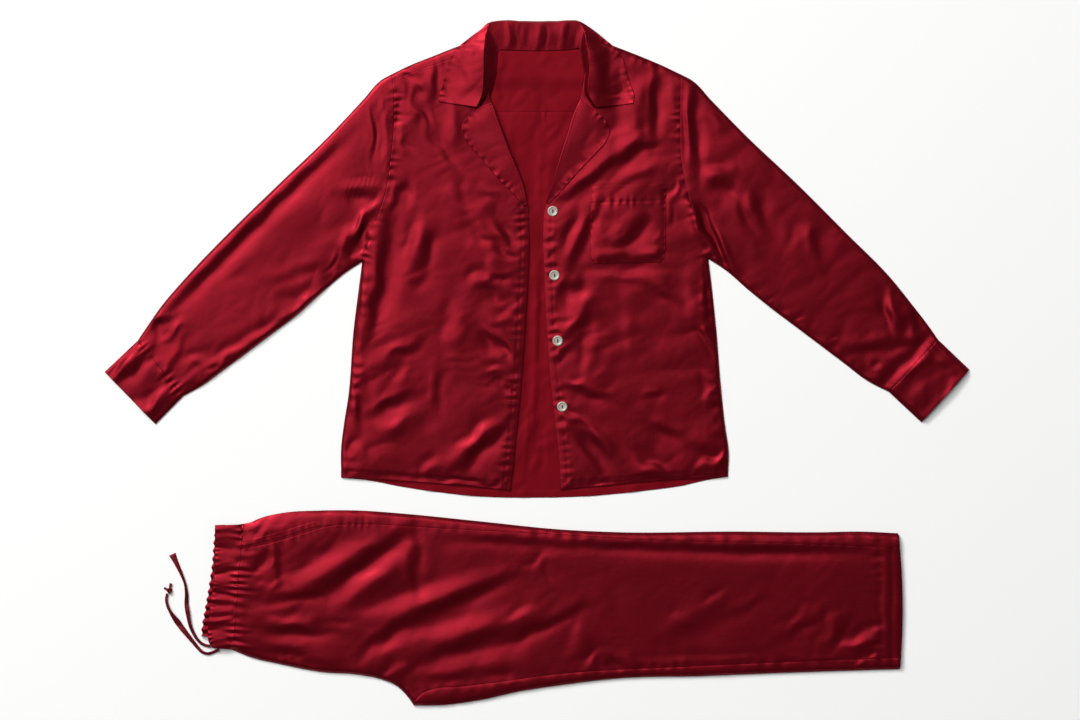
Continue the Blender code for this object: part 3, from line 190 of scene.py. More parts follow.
# %% Cloth materials
SLUB = 1.2e-3                 # metres, drawn as coarse as it needs to show
SLUB_RUN = 45e-3              # metres, how far one runs along the warp
DYE_PATCH = 70e-3             # metres, size of slow changes in the dye
CRINKLE = 9e-3                # metres, size of the faint unevenness between creases


def woven(name, face, shade, gloss, metal, slub_depth, bright):
    """Satin: `face` and `shade` are the dye's light and dark, `gloss` is its roughness.

    `metal` is the share of the gloss that takes the dye's colour, `slub_depth` the height of a
    slub in metres, and `bright` the strength of the white gloss. Slubs follow the weave map, and
    the dye and the crinkle follow the place.
    """
    material, tree, shader = new_finish(name, {
        "Metallic": metal, "Specular IOR Level": bright, "Sheen Weight": 0.03,
        "Sheen Roughness": 0.35, "Sheen Tint": linear("#e0566a")})
    weave = add_node(tree, "ShaderNodeUVMap", uv_map="weave")
    along_warp = add_node(tree, "ShaderNodeMapping", {"Scale": (1 / SLUB_RUN, 1 / SLUB, 1.0)},
                          {"Vector": weave.outputs["UV"]})
    slubs = add_node(tree, "ShaderNodeTexNoise", {"Scale": 1.0, "Detail": 2.0},
                     {"Vector": along_warp.outputs["Vector"]})
    place = add_node(tree, "ShaderNodeTexCoord")
    patches = add_node(tree, "ShaderNodeTexNoise", {"Scale": 1 / DYE_PATCH, "Detail": 3.0},
                       {"Vector": place.outputs["Object"]})
    mixed = add_node(tree, "ShaderNodeMix", {"A": linear(shade), "B": linear(face)},
                     {"Factor": patches.outputs["Fac"]}, data_type="RGBA")
    polish = add_node(tree, "ShaderNodeMapRange",
                      {"From Min": 0.3, "From Max": 0.7, "To Min": gloss - 0.03,
                       "To Max": gloss + 0.04}, {"Value": slubs.outputs["Fac"]})
    crinkle = add_node(tree, "ShaderNodeTexNoise", {"Scale": 1 / CRINKLE, "Detail": 2.0},
                       {"Vector": place.outputs["Object"]})
    soft = add_node(tree, "ShaderNodeBump", {"Strength": 0.25, "Distance": 0.0006},
                    {"Height": crinkle.outputs["Fac"]})
    fine = add_node(tree, "ShaderNodeBump", {"Strength": 0.3, "Distance": slub_depth},
                    {"Height": slubs.outputs["Fac"], "Normal": soft.outputs["Normal"]})
    tree.links.new(mixed.outputs["Result"], shader.inputs["Base Color"])
    tree.links.new(polish.outputs["Result"], shader.inputs["Roughness"])
    tree.links.new(fine.outputs["Normal"], shader.inputs["Normal"])
    return material


# Satin face: bright filament floats, so its gloss is broad, soft and crimson
SATIN = woven("crimson_satin_face", "#7d091a", "#6b0716", 0.38, 0.8, 0.00008, 0.25)
# Satin reverse: short floats scatter the light, so it looks flat and even
REVERSE = woven("crimson_satin_reverse", "#7c0a18", "#6c0814", 0.52, 0.5, 0.00010, 0.05)
# Drawstring tape: the same satin folded and pressed, darker for its tight weave
TAPE = woven("crimson_satin_tape", "#700a1a", "#5a0815", 0.42, 0.6, 0.00010, 0.25)
print("cloth materials:", SATIN.name, REVERSE.name, TAPE.name)

# %% [markdown]
# ## Curves through a few measured places
# A pattern cutter marks a seam with a few notches and draws a fair curve
# through them with a French curve. `spans` does the same with cubic pieces:
# each piece leaves a notch in the direction that its neighbours suggest.

# %% Fair curves
CM, MM = 0.01, 0.001


def spans(knots, values, at):
    """Cubic Hermite spans: (2p^3 - 3p^2 + 1) a + (3p^2 - 2p^3) b, plus the two slope terms."""
    slopes = np.gradient(values, knots, axis=0)
    index = np.clip(np.searchsorted(knots, at, side="right") - 1, 0, len(knots) - 2)
    width = knots[index + 1] - knots[index]
    part = ((at - knots[index]) / width)[..., None]
    width = width[..., None]
    found = values[index] * (2 * part ** 3 - 3 * part ** 2 + 1)
    found = found + values[index + 1] * (3 * part ** 2 - 2 * part ** 3)
    found = found + slopes[index] * (part ** 3 - 2 * part ** 2 + part) * width
    return found + slopes[index + 1] * (part ** 3 - part ** 2) * width


def along(table, share):
    """Points of the curve through a table at shares of its chain length."""
    points = np.asarray(table, float)
    steps = np.linalg.norm(np.diff(points[:, :2], axis=0), axis=1)
    knots = np.concatenate([[0.0], np.cumsum(steps)]) / steps.sum()
    return spans(knots, points, np.asarray(share, float))


def read_at(table, place, axis=0):
    """The other coordinate of a curve where one coordinate is `place`."""
    points = np.asarray(table, float)
    if points[0, axis] > points[-1, axis]:
        points = points[::-1]
    return spans(points[:, axis], points[:, 1 - axis:2 - axis], np.asarray(place, float))[..., 0]


def chain_of(table, count=24):
    """A table's curve as a chain of points."""
    return along(table, np.linspace(0, 1, count))


print("top of a curve through three notches:", along([(0, 0), (1, 1), (2, 0)], 0.5))

# %% Surfaces between curves
def ruled(low, high, shares):
    """Rows between two boundaries: (1 - s) low + s high."""
    part = np.asarray(shares, float)[None, :, None]
    return low[:, None, :] * (1 - part) + high[:, None, :] * part


def patch(low, high, start, end, shares, stations):
    """Four-sided Coons patch: ruled sides + ruled ends - the plane through the corners."""
    part = np.asarray(shares, float)[None, :, None]
    place = np.asarray(stations, float)[:, None, None]
    sides = ruled(low, high, shares)
    ends = start[None, :, :] * (1 - place) + end[None, :, :] * place
    first = low[0] * (1 - part) + high[0] * part
    last = low[-1] * (1 - part) + high[-1] * part
    return sides + ends - (first * (1 - place) + last * place)


print("a ruled strip:", ruled(np.zeros((3, 2)), np.ones((3, 2)), [0, 0.5, 1]).shape)

# %% Distances and soft steps
def near(chain, points):
    """Distance to a chain of straight runs, and how far along it the nearest place lies (cm)."""
    chain = np.asarray(chain, float)
    flat = points.reshape(-1, 1, 2)
    start, run = chain[None, :-1], np.diff(chain, axis=0)[None]
    share = ((flat - start) * run).sum(-1) / np.maximum((run ** 2).sum(-1), 1e-9)
    share = np.clip(share, 0, 1)
    away = np.linalg.norm(flat - start - share[..., None] * run, axis=-1)
    best, pick = away.argmin(1), np.arange(len(flat))
    length = np.linalg.norm(run[0], axis=1)
    begun = np.concatenate([[0.0], np.cumsum(length)[:-1]])
    gone = begun[best] + share[pick, best] * length[best]
    return away[pick, best].reshape(points.shape[:-1]), gone.reshape(points.shape[:-1])


def path_length(path):
    """Sum of the straight steps of a path."""
    return float(np.linalg.norm(np.diff(path, axis=0), axis=1).sum())


def unit(ways):
    """The same directions, each of length 1."""
    return ways / np.maximum(np.linalg.norm(ways, axis=-1, keepdims=True), 1e-9)


def smooth_step(value):
    """0 below 0, 1 above 1, and 3s^2 - 2s^3 between."""
    share = np.clip(value, 0, 1)
    return share * share * (3 - 2 * share)


def quarter_round(distance, reach, least=0.0):
    """Rise of a rounded edge from 0 to 1 over `reach`: sqrt(1 - (1 - d / reach)^2)."""
    return np.sqrt(1 - (1 - np.clip(distance / reach, least, 1)) ** 2)


def packed(count, tight=0.6):
    """Shares from 0 to 1 that lie closer near both ends: s - k sin(2 pi s) / (2 pi)."""
    share = np.linspace(0, 1, count)
    return share - tight * np.sin(2 * np.pi * share) / (2 * np.pi)


print("five packed shares:", packed(5).round(2))

# %% [markdown]
# ## The shirt's outline
# Every seam of the shirt is a short table of places in centimetres, with the
# origin under the middle of the set. "right" is the wearer's right, at -X.

# %% Shirt outline tables
YOKE_Y = 35.8                 # cm, seam between back and yoke
FRONT_HEM_SAG = 0.22          # cm, the hem of a front bows up between its corners

SIDE_SEAM = {
    "right": [(-28.0, -16.4), (-28.0, -12.2), (-27.6, -8.8), (-27.0, -5.0),
              (-26.2, 4.9), (-25.5, 10.5), (-25.0, 14.4)],
    "left": [(27.3, -16.25), (27.4, -13.0), (26.8, -8.4), (26.3, -3.6),
             (25.6, 4.9), (24.9, 11.5), (24.5, 14.8)],
}
ARMHOLE = {
    "right": [(-25.0, 14.4), (-24.0, 18.1), (-22.8, 20.8), (-21.7, 24.0),
              (-20.8, 29.7), (-20.45, 33.3), (-20.35, 37.3), (-20.7, 41.25)],
    "left": [(24.5, 14.8), (24.1, 16.6), (23.1, 19.4), (22.1, 22.4),
             (21.2, 25.6), (20.55, 29.7), (20.45, 34.3), (20.55, 41.2)],
}
SLEEVE_OVER = {
    "right": [(-20.7, 41.25), (-22.2, 40.4), (-24.9, 37.5), (-29.7, 32.4), (-36.9, 25.5),
              (-43.9, 18.7), (-50.5, 11.8), (-53.5, 8.3), (-55.9, 4.9), (-57.1, 3.1)],
    "left": [(20.55, 41.2), (22.2, 40.3), (24.9, 37.5), (29.9, 32.4), (37.2, 25.5),
             (44.0, 18.7), (50.8, 11.8), (53.6, 8.3), (56.2, 4.9), (57.3, 3.3)],
}
SLEEVE_UNDER = {
    "right": [(-25.0, 14.4), (-26.6, 13.4), (-30.9, 9.9), (-34.3, 6.8), (-37.75, 4.2),
              (-44.6, -0.9), (-48.05, -3.4), (-50.6, -4.8)],
    "left": [(24.5, 14.8), (26.7, 13.4), (30.2, 10.4), (33.6, 7.65), (37.0, 5.1),
             (43.9, -0.1), (47.3, -2.65), (50.3, -4.2)],
}
CUFF_END = {
    "right": [(-54.5, -8.75), (-61.75, -1.3)],
    "left": [(54.9, -8.5), (61.75, -0.95)],
}
SHOULDER = {
    "right": [(-20.7, 41.25), (-18.0, 42.55), (-14.4, 43.97), (-11.2, 45.25), (-8.0, 46.4)],
    "left": [(20.55, 41.2), (17.7, 42.55), (14.3, 43.97), (11.0, 45.25), (7.9, 46.4)],
}
FORWARD_LEVEL = {"right": 40.35, "left": 40.75}   # where the forward seam starts
FORWARD_SEAM = {
    "right": [(-16.5, 41.9), (-12.4, 43.3)],
    "left": [(16.2, 42.65), (12.0, 44.3)],
}
FRONT_EDGE = {
    "right": [(-3.85, -18.2), (-3.3, -13.5), (-2.9, -9.5), (-2.15, -1.2), (-1.6, 7.6),
              (-1.2, 14.8), (-1.2, 19.2), (-1.35, 22.3), (-2.1, 25.4), (-3.8, 29.5),
              (-5.55, 34.0), (-6.6, 37.4), (-7.15, 41.0), (-7.3, 45.0)],
    "left": [(3.45, -18.15), (3.2, -13.5), (2.75, -9.5), (1.85, -1.2), (1.3, 7.6),
             (1.05, 13.8), (0.9, 17.5), (1.25, 22.3), (2.45, 26.0), (3.6, 29.5),
             (4.9, 33.7), (6.3, 38.0), (6.9, 41.5), (7.1, 45.7)],
}
BACK_HEM = [(-28.0, -16.4), (-24.0, -16.8), (-19.6, -17.65), (-13.9, -18.5), (-8.0, -19.1),
            (0.0, -19.25), (8.0, -19.0), (14.7, -18.35), (20.4, -17.6), (24.5, -16.7),
            (27.3, -16.25)]
NECK_SEAM = [(-8.0, 46.4), (-6.9, 45.0), (-3.5, 44.55), (0.0, 44.45), (3.5, 44.55),
             (6.7, 45.0), (7.9, 46.4)]
SIDES = ("right", "left")
OUTWARD = {"right": -1, "left": 1}
print("sleeve, underarm to cuff seam:", round(path_length(chain_of(SLEEVE_UNDER["left"])), 1), "cm")

# %% [markdown]
# ## How cloth lies
# Laid on a table, satin keeps three kinds of shape. Long soft folds run from
# the places where it is pulled, such as an armhole. Between them it crumples a
# little, with round mounds and sharper valleys. Along each stitched seam the
# thread is shorter than the cloth, so the seam puckers in a row of small waves.
# Each kind is one function of a place on the table, and their sum is a height.

# %% Drift and crumple
WAVES = 12                    # plane waves in one drift


def turning(degrees):
    """Matrix that turns rows of places clockwise: (x cos t + y sin t, y cos t - x sin t)."""
    turn = np.radians(degrees)
    return np.array([[np.cos(turn), -np.sin(turn)], [np.sin(turn), np.cos(turn)]])


def drift(points, size, seed, lie=0.0, run=1.0):
    """A smooth wandering number: the sum of plane waves of about one length, over 2.9.

    `size` is that length in cm, `lie` the direction in degrees that its shapes
    run in, and `run` how much longer than wide they are.
    """
    made = np.random.default_rng(seed)
    turned = points @ turning(lie) / np.array([run, 1.0])
    angle = made.uniform(0, 2 * np.pi, WAVES)
    wave = 2 * np.pi / (size * made.uniform(0.7, 1.6, WAVES))
    phase = made.uniform(0, 2 * np.pi, WAVES)
    total = np.zeros(points.shape[:-1])
    for direction, number, start in zip(angle, wave, phase):
        way = np.array([np.cos(direction), np.sin(direction)])
        total += np.sin(turned @ way * number + start)
    return total / 2.9


def crumple(points, size, seed, lie=0.0, run=2.2):
    """Mounds with sharper valleys: sqrt(n^2 + 0.12) - 0.68, n a drift that wider ones bend."""
    bent = points + 0.16 * size * np.stack([drift(points, 2.4 * size, seed + 7),
                                            drift(points, 2.4 * size, seed + 8)], -1)
    number = drift(bent, size, seed, lie, run)
    return np.sqrt(number ** 2 + 0.12) - 0.68


print("crumple at the middle:", crumple(np.zeros((1, 2)), 5.6, 11).round(2))

# %% Long folds and drag lines
AWAY_FROM_WINDOW = np.array([0.67, -0.74])   # cloth that climbs this way catches the light


def relief(points, folds, gain=1.0):
    """Sum of long folds: height (1 - l^2) exp(-|a|^1.7), a across and l along each bent line.

    A fold is (x0, y0, x1, y1, half width cm, height mm, bend cm). Small waves along it keep its
    line and its width from being even.
    """
    total = np.zeros(points.shape[:-1])
    for x0, y0, x1, y1, half_width, height, bend in folds:
        run = np.array([x1 - x0, y1 - y0])
        length = np.hypot(*run)
        run = run / length
        offset = points - np.array([(x0 + x1) / 2, (y0 + y1) / 2])
        lengthwise = offset @ run / (length / 2)
        across = offset @ np.array([-run[1], run[0]]) - bend * (1 - lengthwise ** 2)
        across = across + 0.22 * half_width * np.sin(4.1 * lengthwise + x0)
        across = np.abs(across / (half_width * (1 + 0.2 * np.sin(3.3 * lengthwise + y0))))
        ends = np.clip(1 - lengthwise ** 2, 0, 1)
        total += gain * height * ends * np.exp(-across ** 1.7)
    return total


def pulls(points, lines, gain=1.35):
    """Drag lines: cloth climbs across each, 10 gain slope a exp(-(a / 1.2 w)^2 - 1.2 l^2) in mm.

    A line is (x0, y0, x1, y1, half width w cm, slope). `a` is the distance from it in cm, away
    from the window, and `l` runs from -1 to 1 between 0.4 w before it and 0.4 w past it. A slow
    drift bends the lines together, the short ones most, so none is straight. A line that is too
    far from the places to change them is passed over.
    """
    total = np.zeros(points.shape[:-1])
    low, high = points.reshape(-1, 2).min(0), points.reshape(-1, 2).max(0)
    bend = 0.4 * np.stack([drift(points, 4.2, 31), drift(points, 4.2, 32)], -1)
    for x0, y0, x1, y1, half_width, slope in lines:
        middle, run = np.array([x0 + x1, y0 + y1]) / 2, np.array([x1 - x0, y1 - y0])
        length = np.hypot(*run)
        far = length + 3 * half_width
        if (middle + far < low).any() or (middle - far > high).any():
            continue
        side = np.array([-run[1], run[0]]) / length
        side = side * np.sign(side @ AWAY_FROM_WINDOW)
        offset = points + bend * min(1.0, 4.0 / length) - middle
        lengthwise = offset @ run / length / (length / 2 + 0.4 * half_width)
        across = offset @ side
        fade = np.exp(-(across / (1.2 * half_width)) ** 2 - 1.2 * lengthwise ** 2)
        total += 10 * gain * slope * across * fade
    return total


print("top of a fold 2 mm high:", relief(np.zeros((1, 2)), [(-5, 0, 5, 0, 1.0, 2.0, 0)]).round(2))

# %% Puckers
GROOVE = 0.13                 # cm, how far a seam's groove reaches


def puckers(points, seams):
    """Rows of small waves that run off each seam, and the seam's own groove.

    A seam is (chain, pitch cm, height mm, reach cm, groove mm). The waves are
    height sin(2 pi s / pitch) exp(-(d / reach)^2), their pitch, strength and
    reach uneven along s, and the groove is exp(-(d / 1.3 mm)^2).
    """
    total = np.zeros(points.shape[:-1])
    low, high = points.reshape(-1, 2).min(0), points.reshape(-1, 2).max(0)
    for number, (chain, pitch, height, reach, groove) in enumerate(seams):
        if (chain.max(0) + 3 * reach < low).any() or (chain.min(0) - 3 * reach > high).any():
            continue
        away, gone = near(chain, points)
        beat = gone / pitch + 0.28 * np.sin(gone / pitch * 1.13 + number)
        beat = beat + 0.35 * np.sin(gone / pitch * 0.37 + 2 * number)
        strength = 0.62 + 0.38 * np.sin(gone / pitch * 0.83 + 3 * number)
        spread = reach * (0.75 + 0.35 * np.sin(gone / pitch * 2.9 + number))
        total += height * strength * np.sin(2 * np.pi * beat) * np.exp(-(away / spread) ** 2)
        total -= groove * np.exp(-(away / GROOVE) ** 2)
    return total


def floored(height, floor, soft=0.7):
    """Keeps cloth above what lies below it, without a sharp edge: f + s ln(1 + e^((h - f) / s))."""
    return floor + soft * np.logaddexp(0, (height - floor) / soft)


print("0, 2 and 4 mm, floored at 2:", floored(np.array([0.0, 2.0, 4.0]), 2.0).round(2))

# %% [markdown]
# ## The shirt's folds
# The long folds are given one by one: where one starts and ends, half its width,
# its height and its bend. A negative height is a trough. Drag lines, the fine
# straight ones between the folds, have a slope instead: a positive one turns
# the cloth towards the window, and a negative one turns it away.

# %% Shirt folds
SHIRT_FOLDS = [               # x0, y0, x1, y1, half width cm, height mm, bend cm
    # right front
    (-17.0, 42.0, -18.9, 34.5, 1.1, 2.0, 0.2), (-19.2, 41.0, -19.9, 34.0, 0.8, -1.6, 0.0),
    (-17.4, 36.6, -12.0, 28.0, 1.0, -2.2, -0.3), (-14.0, 36.5, -10.8, 30.0, 1.7, 1.6, 0.0),
    (-20.5, 24.8, -17.6, 24.0, 1.1, -2.0, 0.0), (-20.6, 22.0, -23.6, 3.5, 1.6, -2.4, 0.6),
    (-24.4, 14.0, -25.6, 2.0, 1.0, 1.2, 0.2), (-15.6, 20.0, -19.2, 12.0, 1.5, 2.6, 0.3),
    (-14.4, 18.5, -17.2, 11.5, 1.1, -1.8, 0.0), (-7.5, 22.5, -3.0, 17.0, 1.4, -2.0, 0.5),
    (-10.5, 17.5, -5.0, 11.5, 1.3, 2.0, 0.2), (-8.0, 10.5, -3.0, 8.0, 1.2, -1.8, -0.3),
    (-10.0, 9.0, -12.5, 0.0, 1.6, 1.2, 0.0), (-8.5, 4.0, -3.0, 1.2, 1.2, -2.0, 0.4),
    (-8.0, -1.5, -3.6, -3.4, 1.0, -1.6, 0.2), (-16.8, 8.0, -21.5, -1.0, 1.6, 1.5, 0.0),
    (-18.5, -3.5, -24.5, -8.0, 1.5, -1.8, 0.3), (-17.6, -6.0, -22.5, -10.5, 1.3, 2.0, 0.0),
    (-5.5, -6.8, -14.0, -16.0, 1.5, 2.6, 0.6), (-4.6, -10.0, -11.5, -16.4, 1.4, -2.4, 0.3),
    (-13.5, -3.0, -17.5, -12.0, 1.6, -1.4, 0.2),
    # left front
    (15.8, 41.0, 16.0, 33.5, 1.8, 2.4, -0.8), (17.9, 40.0, 15.8, 31.5, 1.1, -1.8, -0.8),
    (15.2, 33.0, 4.8, 25.4, 1.7, 2.4, 0.5), (17.0, 31.0, 6.0, 24.4, 1.2, -1.6, 0.4),
    (6.8, 24.0, 2.6, 14.6, 1.4, 2.2, -0.4), (6.9, 16.0, 3.2, 9.8, 1.1, -1.8, 0.3),
    (16.6, 20.8, 11.2, 15.6, 1.4, -2.6, 0.3), (14.8, 22.2, 9.6, 17.0, 1.3, 2.2, 0.2),
    (17.4, 14.4, 9.0, 14.0, 0.8, -1.6, 0.4), (19.0, 12.8, 12.0, 9.0, 1.4, 1.6, 0.3),
    (21.5, 14.0, 24.9, 3.0, 1.3, 2.0, -0.6), (20.3, 12.0, 24.0, 0.0, 1.3, -1.8, -0.6),
    (7.8, 9.8, 4.0, 3.5, 1.6, 1.8, 0.4), (9.0, 7.4, 6.0, 2.6, 1.2, -1.6, 0.3),
    (11.5, 0.5, 3.8, -3.8, 1.5, 1.8, 0.3), (3.4, -7.6, 11.0, -13.8, 1.2, 2.6, 0.8),
    (4.4, -9.6, 10.4, -17.0, 1.6, -2.6, 0.8), (24.3, -0.8, 24.8, -6.5, 1.2, 2.0, 0.0),
    (20.5, -8.5, 15.0, -13.0, 1.8, -1.6, 0.4), (22.0, -10.6, 27.0, -14.0, 1.2, 2.0, 0.5),
    (20.0, -15.0, 12.0, -15.6, 1.0, 1.8, 0.4),
    # right sleeve
    (-23.0, 37.0, -22.7, 29.0, 0.7, -2.2, 0.3), (-21.8, 38.5, -21.5, 27.0, 0.6, 1.6, 0.0),
    (-22.2, 25.0, -30.5, 25.4, 0.9, 2.2, 0.2), (-22.4, 23.9, -27.2, 23.6, 0.8, -2.6, 0.2),
    (-22.6, 23.0, -28.4, 16.2, 0.8, 2.8, 0.6), (-23.9, 20.2, -27.0, 15.2, 1.1, -3.2, 0.2),
    (-23.5, 36.5, -53.0, 7.0, 1.4, -1.8, 0.4), (-30.0, 12.6, -47.5, -1.4, 1.4, 2.0, 0.3),
    (-26.0, 29.5, -38.0, 18.0, 3.2, 1.4, 0.6), (-44.0, 12.6, -31.0, 15.4, 2.0, -1.4, 0.3),
    (-51.0, 7.0, -54.5, 3.4, 0.9, 1.8, 0.3), (-51.3, 2.2, -55.5, 5.0, 1.2, -2.0, 0.2),
    # left sleeve
    (21.3, 39.0, 21.2, 31.0, 0.6, 1.8, 0.2), (22.3, 38.0, 22.4, 26.5, 1.0, -2.4, 0.2),
    (23.2, 26.6, 28.6, 28.6, 1.0, 2.4, -0.4), (23.6, 24.7, 28.8, 25.4, 1.0, -1.8, -0.3),
    (22.2, 23.5, 26.9, 14.8, 0.7, 2.8, -0.9), (23.2, 21.6, 25.4, 16.0, 0.9, -3.0, -0.4),
    (28.2, 25.2, 31.8, 14.6, 1.2, 2.2, -0.5), (31.0, 25.5, 34.4, 15.6, 1.3, -1.6, -0.5),
    (39.6, 20.0, 36.2, 13.0, 1.5, 1.6, -0.3), (50.6, 9.6, 52.2, 2.4, 1.2, 2.6, -0.4),
    (54.6, 7.0, 48.8, 1.8, 1.2, -2.4, 0.5), (47.0, -0.4, 50.0, -1.9, 0.9, 1.8, 0.2),
]
print("shirt folds:", len(SHIRT_FOLDS))

